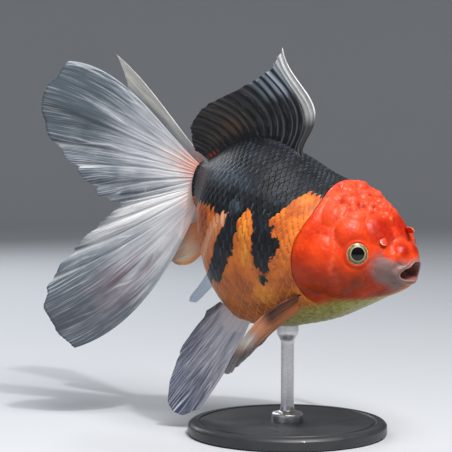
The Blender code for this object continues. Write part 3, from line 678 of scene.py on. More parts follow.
def scales(name, seeds, look, rng, skin_start):
    """One joined mesh of thin closed scales, each a plate with a round, raised rear edge."""
    count, one = len(seeds), SCALE_STEPS * SCALE_ACROSS
    s = np.linspace(0, 1, SCALE_STEPS)[:, None] ** 0.8
    y = np.sin(np.linspace(-1, 1, SCALE_ACROSS) * math.pi / 2 * 0.92)[None, :] / math.sin(math.pi / 2 * 0.92)
    x = s * (1 - SCALE_BOW / SCALE_LENGTH * (1 - np.sqrt(np.clip(1 - 0.97 * y**2, 0, 1))))
    tip, turn_mid, pitch, step = seeds.T[..., None, None]
    longer, wider, shifted, higher = rng.uniform(-1, 1, (count, 4)).T[..., None, None]
    length = pitch * SCALE_LENGTH * (1 + 0.04 * longer)
    along = tip - length + x * length
    turn = turn_mid + y * (step * (1.0 + 0.05 * wider)) + 0 * along + 0.4 * shifted
    turn = (turn + 180) % 360 - 180
    edge = gill_edge(turn)
    along = np.minimum(np.maximum(along, edge + 0.002), TAIL_END + 0.012)
    # Over the coat: sunk at the root, raised at the rear edge and bowed a little from side to side
    top = (-0.16 + 0.5 * x + 0.05 * (1 - y**2) * s) * MM + 0.03 * MM * higher
    thick = (0.05 + 0.06 * s) * MM * (1 - 0.55 * (s > 0.999))
    emerge = ease(along - edge, 0.0, 0.012) * 0.6 + 0.4
    level = -COAT + body_rise(along, turn) + top * emerge
    faces_of = [above(along, turn, height).reshape(count, one, 3) for height in (level, level - thick)]
    points = place(np.stack(faces_of, 1).reshape(-1, 3))

    template, spots = (np.concatenate(part) for part in zip(*sheet_faces(SCALE_STEPS, SCALE_ACROSS)))
    faces = (template + (np.arange(count) * 2 * one)[:, None, None]).reshape(-1, 4)
    share = (tip - length - gill_edge(turn_mid)) / (TAIL_END - gill_edge(turn_mid))
    root = np.stack([skin_start + (1 - skin_start) * np.clip(share, 0, 1), (turn_mid + 180) / 360], -1)
    places = (root + (spots - 0.5) * 0.003).reshape(-1, 4, 2)

    mark_along = 0.35 * along + 0.65 * (tip - 0.22 * length)
    fields = markings(mark_along, 0.45 * turn + 0.55 * turn_mid, np.zeros_like(along))
    fields |= {"rim": s, "beside": np.abs(y), "tone": rng.uniform(0, 1, count)[:, None, None]}
    for key, values in fields.items():
        fields[key] = np.repeat(np.broadcast_to(values, along.shape).reshape(count, 1, one), 2, axis=1)
    piece(name, points, [(faces, places)], look, "flank_orange", fields)


# ---------------- fins
def rooted(rows, side=1):
    """Control rays (root, tip, bend) of a fin that stands on the skin."""
    made = []
    for along, turn, *rest in rows:
        tip_and_bend = np.reshape(rest, (2, 3)) * (1, side, 1)
        made.append([*above(along, turn * side, 0.9 * MM), *tip_and_bend.ravel()])
    return made


def caudal_rays(side):
    made = []
    for root_lift, reach, tip_lift, right, left, bend in CAUDAL:
        flare = math.radians(right if side > 0 else left)
        lift = tip_lift if side > 0 or tip_lift > 0 else tip_lift * LEFT_LOWER_DROP
        bend = bend * (LEFT_UPPER_BEND if side < 0 < bend else 1)
        root = [TAIL_ROOT, TAIL_OUT * side, root_lift]
        tip = [TAIL_ROOT + reach * math.cos(flare), side * (TAIL_OUT + reach * math.sin(flare)), lift]
        made.append([*root, *tip, -abs(bend) * 0.4, 0.0, bend])
    return made


def ray_distance(position, reach, forks):
    """Distance from the nearest ray, in shares of the space between main rays, which fork further out."""
    away = np.abs(position % 1 - 0.5)
    gap = 0.25
    for fork in forks:
        away = np.abs(away - gap * ease(reach, fork, fork + FORK_LENGTH))
        gap /= 2
    return away


def grid_normals(grid):
    normal = np.cross(np.gradient(grid, axis=0), np.gradient(grid, axis=1))
    return normal / np.linalg.norm(normal, axis=-1, keepdims=True)


def fin(name, rays, replaces, look, slot, seed, main=10, forks=(0.35,), per_ray=12, steps=60, ripple=0.0,
        waves=3.0, ragged=0.01, notch=0.006, thick=(0.4, 0.08), phase=0.0, lead=0.5, skew=0.0, jitter=0.25,
        pleats=(), accordion=0.0, hooked=0.0):
    """Thin closed fin with forked rays raised on both faces, from control rays (root, tip, bend).

    skew moves the bend of the first rays outwards. Each of pleats is a fold from the root to the edge: place
    across, half width, height in millimetres, and how deep it cuts the edge. accordion is how far, in
    millimetres, each ray stands out of the sheet between its neighbours. hooked draws the bend of the first
    rays together below their middle, so that they run straight to the tip.
    """
    rng = np.random.default_rng(seed)
    columns = main * per_ray + 1
    across = np.linspace(0, 1, columns)
    spread = curve_through(rays, across * (len(rays) - 1))
    root, tip, bend = spread[:, None, 0:3], spread[:, None, 3:6], spread[:, None, 6:9]
    across = across[:, None]
    reach = np.linspace(FIN_SUNK, 1, steps)[None, :]
    out = np.clip(reach, 0, 1)
    knots = np.linspace(0, 1, main * 2 + 1)
    shift = rng.uniform(-jitter, jitter, len(knots)) * (np.abs(knots - 0.5) < 0.499)
    sway = 0.4 * jitter * np.sin(5.0 * out + 7.0 * across * main**0.5)
    position = across * main + np.interp(across, knots, shift) + sway
    wander = np.interp(across, knots, rng.uniform(-1, 1, len(knots)))
    tips = ray_distance(position[:, -1:], 1.0, forks)
    length = 1 + ragged * wander - notch * np.clip(tips * main * 1.2, 0, 1)
    crest, fold = np.zeros((2, columns, steps))
    for middle, width, high, cut in pleats:
        drift = across + 0.4 * width * np.sin(4.0 * out + 20 * middle)
        ridge = bell(drift, middle, width * (0.5 + 0.5 * out)) * out
        crest = np.maximum(crest, ridge)
        fold = fold + high * ridge * out**0.3
        length = length - cut * bell(drift[:, -1:], middle, width * 0.6)
    share = (reach * (1 + (length - 1) * ease(reach, 0.5, 1.0)))[..., None]
    first = (1 - ease(across, 0.0, 0.22))[..., None]
    bow = 4 * share * (1 - share) * (1 + skew * first * (2 * share - 1))
    bow = bow + hooked * first * (share**2 * (1 - share) ** 3 / HOOK_PEAK - bow)
    grid = place(root + (tip - root) * share + bend * bow)

    swing = np.sin(2 * math.pi * (waves * across + phase) + 1.6 * out)
    swing = swing + 0.45 * np.sin(2 * math.pi * (2.3 * waves * across + 2 * phase) + 3.0 * out)
    pressed = accordion * np.cos(2 * math.pi * (position - 0.5)) * out**0.5
    grid = grid + grid_normals(grid) * ((ripple * swing * out**1.4 + fold + pressed) * 0.001)[..., None]
    width = (0.16 - 0.1 * out) * np.where(across < 0.5 / main, 1.5, 1.0)
    ridge = bell(ray_distance(position, out, forks), 0, width)
    high = thick[0] + (thick[1] - thick[0]) * out**0.6
    edge_ray = lead * bell(across * main, 0, 0.35) * (1 - 0.6 * out)
    half = 0.5 * (FIN_SHEET + high * ridge + edge_ray) * 0.001
    half = (half * (1 - 0.6 * (np.abs(out - 1) < 1e-9)))[..., None]
    normal = grid_normals(grid)
    points = np.concatenate([(grid + normal * half).reshape(-1, 3), (grid - normal * half).reshape(-1, 3)])
    groups = [
        (faces, places * (MAP_HALF, 1) + (shift_by, 0))
        for (faces, places), shift_by in zip(sheet_faces(columns, steps), (0, 1 - MAP_HALF, 0))
    ]
    fields = {"ray": position, "reach": out, "across": across, "crest": crest}
    fields = {key: np.tile((values + 0 * position).ravel(), 2) for key, values in fields.items()}
    piece(name, points, groups, look, slot, fields, replaces)


# ---------------- materials
def set_input(tree, node, key, value):
    """Links a socket, or sets a constant; a colour gets its fourth number."""
    if isinstance(value, bpy.types.NodeSocket):
        tree.links.new(value, node.inputs[key])
    elif isinstance(value, tuple) and node.inputs[key].type == "RGBA":
        node.inputs[key].default_value = (*value, 1.0)
    else:
        node.inputs[key].default_value = value


def add(tree, kind, inputs=None, **settings):
    made = tree.nodes.new("ShaderNode" + kind)
    for key, value in settings.items():
        setattr(made, key, value)
    for key, value in (inputs or {}).items():
        set_input(tree, made, key, value)
    return made


class Nodes:
    """Short names for the nodes of one material."""

    def __init__(self, name):
        self.material = bpy.data.materials.new(name)
        self.material.use_nodes = True
        self.tree = self.material.node_tree
        self.shader = self.tree.nodes["Principled BSDF"]
        self.spot = add(self.tree, "TexCoord").outputs["Object"]

    def field(self, name):
        return add(self.tree, "Attribute", attribute_name=name).outputs["Fac"]

    def noise(self, size, detail=3.0, rough=0.5, at=None):
        """Noise whose features are about size metres across."""
        inputs = {"Vector": at or self.spot, "Scale": 1 / size, "Detail": detail, "Roughness": rough}
        return add(self.tree, "TexNoise", inputs).outputs[0]

    def maths(self, operation, a, b=0.0, clamp=False):
        return add(self.tree, "Math", {0: a, 1: b}, operation=operation, use_clamp=clamp).outputs[0]

    def times(self, first, *others):
        for other in others:
            first = self.maths("MULTIPLY", first, other)
        return first

    def plus(self, first, second, clamp=False):
        return self.maths("ADD", first, second, clamp)

    def step(self, value, low, high, to_low=0.0, to_high=1.0):
        inputs = {"Value": value, "From Min": low, "From Max": high, "To Min": to_low, "To Max": to_high}
        return add(self.tree, "MapRange", inputs, interpolation_type="SMOOTHSTEP").outputs[0]

    def vary(self, cloud, low, high):
        """A noise spread between two values."""
        return self.step(cloud, 0.3, 0.7, low, high)

    def mix(self, factor, a, b):
        return add(self.tree, "Mix", {0: factor, 6: a, 7: b}, data_type="RGBA").outputs[2]

    def dab(self, colour, field, tint, strength):
        """A tint over a colour where a marking field is."""
        return self.mix(self.times(self.field(field), strength), colour, tint)

    def bump(self, height, distance, strength=1.0, under=None):
        inputs = {"Height": height, "Distance": distance, "Strength": strength}
        if under:
            inputs["Normal"] = under
        return add(self.tree, "Bump", inputs).outputs[0]

    def finish(self, colour, roughness, normal=None, **constants):
        inputs = {"Base Color": colour, "Roughness": roughness, **constants}
        if normal:
            inputs["Normal"] = normal
        for key, value in inputs.items():
            set_input(self.tree, self.shader, key.replace("_", " "), value)
        return self.material


def living_colour(n):
    """Colour of the living fish from the marking fields, with painted shade low on the body, in the furrows
    and in the mouth, and a painted highlight strip; and how black each place is.
    """
    blotch, grain, fine = n.noise(0.007), n.noise(0.0016), n.noise(0.0006, 2)
    warm = n.mix(n.step(blotch, 0.38, 0.66), ORANGE, ORANGE_DEEP)
    # towards the belly: browner skin and painted shade
    warm = n.dab(warm, "low", FLANK_BROWN_AND_SHADE, n.step(blotch, 0.2, 0.8, 0.65, 1.0))
    warm = n.dab(warm, "gold", GOLD, n.step(grain, 0.25, 0.65, 0.6, 1.0))
    warm = n.dab(warm, "rust", RUST, 0.9)
    # painted highlight: the pale pink strip along the rear of the belly
    warm = n.dab(warm, "pink", PINK_HIGHLIGHT, 0.9)
    red = n.mix(n.step(n.noise(0.0045), 0.35, 0.7), RED, RED_DARK)
    red = n.dab(red, "crown", CROWN, n.vary(blotch, 0.5, 0.95))
    # low on the head: browner skin and painted shade
    red = n.dab(red, "low", CHEEK_BROWN_AND_SHADE, n.step(blotch, 0.25, 0.75, 0.55, 1.0))
    red = n.dab(red, "deep", RED_DEEP, n.vary(grain, 0.75, 1.0))
    # painted shade in the valleys between the knobs
    red = n.dab(red, "furrow", RED_DEEP, n.vary(grain, 0.7, 1.0))
    red = n.dab(red, "crease", WEN_PALE, n.vary(grain, 0.05, 0.35))
    red = n.mix(n.step(fine, 0.56, 0.74, 0.0, 0.18), red, WEN_PALE)
    colour = n.mix(n.field("hood"), warm, red)
    colour = n.mix(n.field("throat"), colour, n.mix(n.step(grain, 0.35, 0.65), THROAT, THROAT_PALE))
    pale = n.plus(n.field("pale"), n.vary(grain, -0.12, 0.12))
    colour = n.mix(n.step(pale, 0.15, 0.9, 0.0, 0.92), colour, n.mix(blotch, SNOUT, SNOUT_GREY))
    mouth = n.field("mouth")
    # the mouth's lining, darker further in: painted shade
    colour = n.mix(n.step(mouth, 0.06, 0.22), colour, n.mix(n.step(mouth, 0.2, 0.6), MOUTH, MOUTH_DEEP_SHADE))
    dark = n.plus(n.field("black"), n.vary(grain, -0.16, 0.16))
    dark = n.step(n.plus(dark, n.vary(fine, -0.05, 0.05)), -0.05, 0.07)
    slate = n.mix(n.step(blotch, 0.35, 0.7), BLACK, SLATE)
    slate = n.dab(slate, "sheen", BLUE_GREY, n.step(grain, 0.35, 0.65, 0.15, 0.55))
    return n.mix(dark, colour, slate), dark


def skin_material():
    n = Nodes("goldfish_skin")
    colour, _ = living_colour(n)
    fine = n.bump(n.noise(0.00045, 2), 0.00005, 0.5)
    grain = {"Vector": n.spot, "Scale": 1 / 0.0017, "Smoothness": 0.6}
    grains = add(n.tree, "TexVoronoi", grain, feature="SMOOTH_F1").outputs[0]
    knobs = n.times(grains, n.times(n.field("hood"), -1.0))
    pores = n.bump(knobs, 0.00035, 0.5, n.bump(n.noise(0.0013, 2), 0.00018, 0.6, fine))
    rough = n.vary(n.noise(0.0022), 0.4, 0.52)
    return n.finish(
        colour, rough, pores, Coat_Weight=0.1, Coat_Roughness=0.26, Subsurface_Weight=0.2,
        Subsurface_Scale=0.001, IOR=1.4, Specular_IOR_Level=0.22,
    )


def scale_material():
    n = Nodes("goldfish_scales")
    colour, dark = living_colour(n)
    rim, tone, throat = n.field("rim"), n.field("tone"), n.field("throat")
    # Painted shadow: the field just behind the edge of the scale in front is darker
    covered_shadow = n.times(n.step(rim, 0.74, 0.56, 0.0, 0.55), n.step(tone, 0.0, 1.0, 0.6, 1.0))
    warm = n.mix(covered_shadow, colour, n.mix(throat, (0.22, 0.045, 0.008), (0.1, 0.095, 0.02)))
    # A lighter rear rim on every scale: on the throat the scales' own whitish edges, on the orange a painted
    # highlight where the rim catches the light
    edge = n.mix(throat, (0.95, 0.42, 0.1), (0.46, 0.44, 0.22))
    warm = n.mix(n.step(rim, 0.93, 0.985, 0.0, 0.45), warm, edge)
    # Painted glint: a blue-grey crescent on the rear rim of the black scales
    glint_crescent = n.times(
        n.step(rim, 0.86, 0.97), n.step(n.field("beside"), 0.6, 0.3), n.step(tone, 0.15, 1.0, 0.1, 0.75)
    )
    colour = n.mix(dark, warm, n.mix(glint_crescent, colour, (0.085, 0.1, 0.125)))
    rings = n.bump(n.maths("SINE", n.times(rim, 60.0)), 0.00002, 0.25)
    relief = n.bump(n.noise(0.0007, 2), 0.00005, 0.4, rings)
    rough = n.vary(n.noise(0.002), 0.4, 0.52)
    return n.finish(
        colour, rough, relief, Coat_Weight=0.1, Coat_Roughness=0.3, IOR=1.42, Specular_IOR_Level=0.32,
        Subsurface_Weight=0.05, Subsurface_Scale=0.0008,
    )


def ray_mask(n, reach, forks):
    """ray_distance() in nodes, with more forks than the mesh has, and the gap at the last fork."""
    away = n.maths("ABSOLUTE", n.maths("SUBTRACT", n.maths("FRACT", n.field("ray")), 0.5))
    gap = 0.25
    for fork in forks:
        open_by = n.step(reach, fork, fork + FORK_LENGTH, 0.0, gap)
        away = n.maths("ABSOLUTE", n.maths("SUBTRACT", away, open_by))
        gap /= 2
    return away, gap


def fin_material(name, colours, root_end=0.1, edge_start=0.45, forks=(0.35, 0.62), opaque=(1.0, 0.84, 0.62),
                 ray_strength=0.6, dark_strength=0.6, lead=None, lead_width=0.05, lead_reach=(0.05, 0.4),
                 tints=(), through=0.25, banded=False, ray_fade=(1.0, 1.1), crest_highlight=0.7, blotchy=0.3,
                 fray=0.08):
    """Fin: skin colour at the root, membrane from middle to edge, light rays, dark streaks, light through it.

    The colours are those of the root, middle, edge, rays, dark streaks and the flush at the root. Each of
    tints is (colour, across from, across to, reach from, reach to, strength), soft-edged, and streaked or,
    where banded, strongest on the rays; fray softens their ends. The rays grow fainter across ray_fade.
    """
    n = Nodes(name)
    root, middle, edge, ray, dark, flush = colours
    reach, across, ray_at = n.field("reach"), n.field("across"), n.field("ray")

    def streaks(per_ray, along_it):
        at = add(n.tree, "CombineXYZ", {0: n.times(ray_at, per_ray), 1: n.times(reach, along_it)})
        return n.noise(1.0, 3, 0.6, at=at.outputs[0])

    broad, fibre, hair = streaks(0.9, 1.2), streaks(4.5, 2.4), streaks(15.0, 5.0)
    drift = n.plus(reach, n.vary(n.noise(0.009, 3), -0.1, 0.1))
    colour = n.mix(n.step(drift, edge_start, 0.98), middle, edge)
    colour = n.mix(n.step(broad, 0.36, 0.64, 0.0, blotchy), colour, edge)
    shade = n.times(n.step(fibre, 0.42, 0.7), n.step(reach, 0.1, 0.55, 0.25, dark_strength))
    colour = n.mix(shade, colour, dark)
    colour = n.mix(n.step(hair, 0.5, 0.75, 0.0, 0.45), colour, ray)
    away, gap = ray_mask(n, reach, forks)
    on_ray = n.times(n.step(away, gap * 0.9, gap * 0.2), n.step(fibre, 0.65, 0.3, 0.25, 1.0),
                     n.step(across, *ray_fade, 1.0, 0.2))
    colour = n.mix(n.times(on_ray, ray_strength), colour, ray)
    # Painted highlight: the crests of the folds are whitened towards the colour of the rays
    crest = n.times(n.step(n.field("crest"), 0.45, 1.0),
                    n.step(hair, 0.3, 0.6, 0.4 * crest_highlight, crest_highlight))
    colour = n.mix(crest, colour, ray)
    colour = n.mix(n.step(drift, root_end * 1.8, 0.0, 0.0, 0.9), colour, n.mix(broad, root, flush))
    frayed = n.plus(reach, n.vary(fibre, -0.6 * fray, 0.6 * fray))
    for tint, left, right, near, far, strength in tints:
        soft = 0.35 * (right - left)
        inside = n.times(
            n.step(across, left - 0.01, left + soft), n.step(across, right + 0.01, right - soft),
            n.step(frayed, near - fray, near + fray), n.step(frayed, far + fray, far - fray),
            n.step(away, 0.42, 0.1, 0.0, strength) if banded
            else n.step(fibre, 0.34, 0.6, 0.4 * strength, strength),
        )
        colour = n.mix(inside, colour, tint)
    opacity = n.step(drift, 0.08, 0.5, opaque[0], opaque[1])
    opacity = n.plus(opacity, n.step(drift, 0.5, 1.0, 0.0, opaque[2] - opaque[1]))
    opacity = n.plus(opacity, n.times(on_ray, 0.2))
    opacity = n.plus(opacity, n.times(crest, 0.25), clamp=True)
    if lead:
        first = n.times(
            n.step(n.plus(across, n.vary(fibre, -0.01, 0.01)), lead_width, lead_width * 0.35),
            n.step(reach, *lead_reach, 0.1, 1.0), n.step(hair, 0.3, 0.65, 0.55, 1.0),
        )
        colour = n.mix(first, colour, lead)
        opacity = n.plus(opacity, n.times(first, 0.4), clamp=True)
    relief = n.bump(hair, 0.00006, 0.5, n.bump(on_ray, 0.00008, 0.5))
    n.finish(colour, 0.46, relief, Coat_Weight=0.06, Coat_Roughness=0.3, Specular_IOR_Level=0.3, IOR=1.4,
             Alpha=opacity)
    glow = add(n.tree, "BsdfTranslucent", {"Color": colour})
    both = add(n.tree, "MixShader", {0: through, 1: n.shader.outputs[0], 2: glow.outputs[0]})
    n.tree.links.new(both.outputs[0], n.tree.nodes["Material Output"].inputs["Surface"])
    return n.material


def eye_material():
    n = Nodes("eyeball")
    beside, fleck, mottle = n.field("beside"), n.noise(0.0006), n.noise(0.0014)
    iris = n.mix(n.step(fleck, 0.38, 0.62), (0.085, 0.068, 0.034), (0.23, 0.18, 0.085))
    ring = n.mix(n.step(fleck, 0.3, 0.7), (0.3, 0.25, 0.11), (0.46, 0.39, 0.19))
    outer = n.mix(n.step(mottle, 0.35, 0.65), (0.66, 0.4, 0.19), (0.48, 0.33, 0.17))
    wander = n.plus(beside, n.vary(fleck, -0.0007, 0.0007))
    colour = n.mix(n.step(wander, INNER_RING - 0.0012, INNER_RING + 0.0008), ring, iris)
    colour = n.mix(n.step(wander, IRIS - 0.0015, IRIS + 0.001), colour, outer)
    pupil = n.step(beside, PUPIL + 0.0004, PUPIL - 0.0004)
    colour = n.mix(pupil, colour, (0.002, 0.002, 0.003))
    gloss = n.step(pupil, 0.0, 1.0, 0.36, 0.14)
    relief = n.bump(fleck, 0.00006, 0.5)
    return n.finish(colour, gloss, relief, Coat_Weight=0.6, Coat_Roughness=0.05, Specular_IOR_Level=0.15)


def flap_material():
    n = Nodes("nostril_flap")
    colour = n.mix(n.noise(0.0015), RED, RED_DEEP)
    colour = n.mix(n.step(n.field("rim"), 0.35, 0.95, 0.0, 0.7), colour, (0.9, 0.36, 0.12))
    rough = n.vary(n.noise(0.002), 0.34, 0.46)
    relief = n.bump(n.noise(0.0005, 2), 0.00006, 0.5)
    return n.finish(colour, rough, relief, Coat_Weight=0.3, Coat_Roughness=0.15, Subsurface_Weight=0.15,
                    Subsurface_Scale=0.001)


def base_material():
    n = Nodes("satin_black_paint")
    wear = n.noise(0.012, 4)
    colour = n.mix(n.step(wear, 0.35, 0.7), (0.018, 0.018, 0.02), (0.03, 0.03, 0.033))
    grain = n.bump(n.noise(0.0005, 2), 0.00003, 0.6)
    return n.finish(colour, n.vary(wear, 0.36, 0.5), grain, Coat_Weight=0.1)


def steel_material():
    n = Nodes("brushed_steel")
    stretched = add(n.tree, "Mapping", {"Vector": n.spot, "Scale": (1.0, 1.0, 8.0)}).outputs[0]
    lines = n.noise(0.002, 3, 0.6, at=stretched)
    colour = n.mix(n.step(lines, 0.3, 0.7), (0.5, 0.5, 0.51), (0.68, 0.68, 0.69))
    rough = n.plus(n.vary(lines, 0.3, 0.38), n.step(n.noise(0.006), 0.4, 0.7, 0.0, 0.06))
    return n.finish(colour, rough, n.bump(lines, 0.00001, 0.2), Metallic=1.0)


# ---------------- eyes and nostril flaps
def eyeball(name, side, look, replaces, rows=56, around=96):
    """Ball about the eye's axis, a little flatter over the pupil."""
    centre, ahead = eye_frame(side)
    up = np.array([0.0, 0.0, 1.0]) - ahead * ahead[2]
    up /= np.linalg.norm(up)
    beside = np.cross(ahead, up)
    polar = (np.linspace(0, 1, rows)[1:-1] * math.pi)[:, None]
    x, y = circle(around)
    far = EYE_RADIUS * np.sin(polar) + 0 * x
    depth = EYE_RADIUS * np.cos(polar) - EYE_FLAT * bell(far, 0, IRIS) * (np.cos(polar) > 0)
    flat = x[:, None] * up + y[:, None] * beside
    points = centre + far[..., None] * flat + depth[..., None] * ahead
    poles = [centre + ahead * (EYE_RADIUS - EYE_FLAT), centre - ahead * EYE_RADIUS]
    fields = {"beside": np.append(far.ravel(), [0, 0])}
    tube(name, place(points), place(poles), look, "eye_black", fields, replaces)


def flap(name, side, root, tip, curl, thick, look, width=0.014, rows=30, around=40):
    """Small fleshy flap from a root to a tip, both (along, turn, height), with a pale free rim."""
    base, end = (above(along, turn * side, height) for along, turn, height in (root, tip))
    long = np.linalg.norm(end - base)
    ahead = (end - base) / long
    wide = np.cross(ahead, flesh_normal(root[0], root[1] * side))
    wide /= np.linalg.norm(wide)
    face = np.cross(wide, ahead)
    share = np.linspace(-0.25, 1, rows + 2)[1:-1][:, None]
    x, y = circle(around)
    outline = np.sqrt(np.clip(1 - np.clip((share - 0.35) / 0.65, -1, 1) ** 2, 0, 1)) ** 0.8
    beside = x * width * outline * (0.75 + 0.25 * ease(share, 0, 0.5))
    over = y * thick * outline**0.7 + curl * share**2 + 0.25 * curl * x**2 * outline
    spots = base + ahead * (share * long)[..., None] + wide * beside[..., None] + face * over[..., None]
    poles = [base - ahead * long * 0.25, end + face * curl]
    rim = np.maximum(np.abs(x) ** 6 * ease(share, 0.1, 0.5), ease(share, 0.78, 0.97))
    tube(name, place(spots), place(poles), look, "wen_red", {"rim": np.append(rim.ravel(), [0, 1])})


# ---------------- stand
def rounded(profile, steps=6):
    """A profile of (radius, height, rounding) corners with each corner rounded."""
    made = []
    for index, (radius, height, round_by) in enumerate(profile):
        here = np.array([radius, height])
        if not round_by or index in (0, len(profile) - 1):
            made.append(here)
            continue
        before, after = np.array(profile[index - 1][:2]), np.array(profile[index + 1][:2])
        start = here + (before - here) / np.linalg.norm(before - here) * round_by
        end = here + (after - here) / np.linalg.norm(after - here) * round_by
        for share in np.linspace(0, 1, steps):
            made.append((1 - share) ** 2 * start + 2 * share * (1 - share) * here + share**2 * end)
    return np.array(made)


def guarded(profile, guard=0.0004):
    """Adds points near both ends of long straight runs, so that smooth shading keeps them flat."""
    made = [profile[0]]
    for before, after in zip(profile, profile[1:]):
        long = np.linalg.norm(after - before)
        if long > 4 * guard:
            step = (after - before) / long * guard
            made += [before + step, after - step]
        made.append(after)
    return np.array(made)


def lathe(name, profile, look, replaces, slot, around):
    """Turned piece about the stand's upright axis."""
    profile = guarded(rounded(profile))
    poles = [(0, 0, profile[0, 1]), (0, 0, profile[-1, 1])]
    tube(name, turned(profile, around), poles, look, slot, None, replaces)


def stand():
    """A round base with a fine groove near its edge, and a rod with a foot and a pad."""
    edge, top = STAND_RADIUS, STAND_THICK
    base = (
        (ROD_FOOT * 0.5, 0.0, 0.0), (edge - STAND_ROUND, 0.0, 0.0002), (edge, 0.0006, 0.0005),
        (edge, top - STAND_ROUND, 0.0004), (edge - STAND_ROUND, top, 0.0007), (edge - 0.004, top, 0.0002),
        (edge - 0.0042, top - 0.0004, 0.0001), (edge - 0.005, top - 0.0004, 0.0001),
        (edge - 0.0052, top, 0.0002), (ROD_FOOT * 0.5, top, 0.0),
    )
    lathe("display_base", base, base_material(), ("stand_base",), "stand_black", 192)
    foot, end = top + ROD_FOOT_HIGH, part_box("stand_rod")[1].z
    rod = (
        (ROD_RADIUS, top - 0.0002, 0.0), (ROD_FOOT, top - 0.0002, 0.0001), (ROD_FOOT, foot, 0.0008),
        (ROD_RADIUS + 0.0006, foot + 0.0006, 0.0005), (ROD_RADIUS, foot + 0.0022, 0.001),
        (ROD_RADIUS, end - ROD_PAD_HIGH - 0.002, 0.001), (ROD_PAD, end - ROD_PAD_HIGH + 0.001, 0.001),
        (ROD_PAD, end + 0.0003, 0.0003), (ROD_RADIUS, end + 0.0006, 0.0),
    )
    lathe("display_rod", rod, steel_material(), ("stand_rod",), "stand_steel", 96)


# ---------------- stage, lights and camera
FLOOR_RADIUS, WALL_CURVE, FLOOR_AROUND = 1.5, 0.9, 96
VIEW_TURN, VIEW_UP = math.radians(40), math.radians(3)
VIEW_BACK = Vector((
    math.sin(VIEW_TURN) * math.cos(VIEW_UP), -math.cos(VIEW_TURN) * math.cos(VIEW_UP), math.sin(VIEW_UP)
))
VIEW_RIGHT, UP = Vector((math.cos(VIEW_TURN), math.sin(VIEW_TURN), 0)), Vector((0, 0, 1))
CAMERA = Vector((3.14, -4.117, 0.319)) * BODY + Vector((FORWARD, 0, RIDE_HEIGHT))
LIT = (0.0, 0.0, 0.075)  # what the lamps aim at


def studio():
    """A pale bowl of floor and wall, seamless from every side."""
    floor = [(FLOOR_RADIUS * share, 0.0) for share in np.linspace(0, 1, 10)[1:]]
    bends = np.radians(np.linspace(0, 80, 17)[1:])
    wall = [(FLOOR_RADIUS + WALL_CURVE * math.sin(a), WALL_CURVE - WALL_CURVE * math.cos(a)) for a in bends]
    rings = turned(np.array(floor + wall), FLOOR_AROUND)
    quads, _ = grid_faces(len(rings), FLOOR_AROUND, wrap=True)
    middle = [(len(rings) * FLOOR_AROUND, j, (j + 1) % FLOOR_AROUND) for j in range(FLOOR_AROUND)]
    mesh = bpy.data.meshes.new("studio_floor")
    mesh.from_pydata([*rings.reshape(-1, 3).tolist(), (0, 0, 0)], [], [*middle, *quads[:, ::-1].tolist()])
    mesh.polygons.foreach_set("use_smooth", np.ones(len(mesh.polygons), bool))
    n = Nodes("studio_floor")
    mesh.materials.append(n.finish(n.mix(n.noise(0.5, 2), (0.5, 0.51, 0.53), (0.54, 0.55, 0.57)), 0.7))
    add_object("studio_floor", mesh)


def lamp(name, towards, distance, size, power, aim=LIT, colour=(1.0, 1.0, 1.0)):
    """Square soft light at a distance from aim, facing it."""
    light = bpy.data.lights.new(name, "AREA")
    light.size = size
    light.energy = power
    light.color = colour
    thing = add_object(name, light)
    direction = Vector(towards).normalized()
    thing.location = Vector(aim) + direction * distance
    thing.rotation_euler = direction.to_track_quat("Z", "Y").to_euler()
    thing.visible_camera = False


def lights():
    world = bpy.data.worlds.new("studio_world")
    world.use_nodes = True
    background = world.node_tree.nodes["Background"]
    background.inputs[0].default_value = (0.8, 0.85, 0.92, 1)
    background.inputs[1].default_value = 0.2
    bpy.context.scene.world = world
    lamp("key", UP + VIEW_BACK * 0.55 + VIEW_RIGHT * 0.25, 0.9, 0.5, 9.5)
    lamp("fill", VIEW_BACK + UP * 0.25 - VIEW_RIGHT * 0.9, 1.2, 0.8, 1.3, colour=(0.85, 0.92, 1.0))
    lamp("rim", UP * 0.7 - VIEW_BACK - VIEW_RIGHT * 0.5, 1.0, 0.5, 4.0, colour=(0.9, 0.95, 1.0))
    on_brow, brow, over = (Vector(place(above(0.178, 45, height))) for height in (0, 0.012, 0.1))
    out = (over - on_brow).normalized()
    see = (CAMERA - brow).normalized()
    lamp("glint", out * (2 * out.dot(see)) - see, 0.7, 0.035, 3.0, brow)


def camera():
    data = bpy.data.cameras.new("camera")
    data.lens = 120
    data.sensor_width = 36
    thing = add_object("camera", data)
    thing.location = CAMERA
    thing.rotation_euler = VIEW_BACK.to_track_quat("Z", "Y").to_euler()
    bpy.context.scene.camera = thing


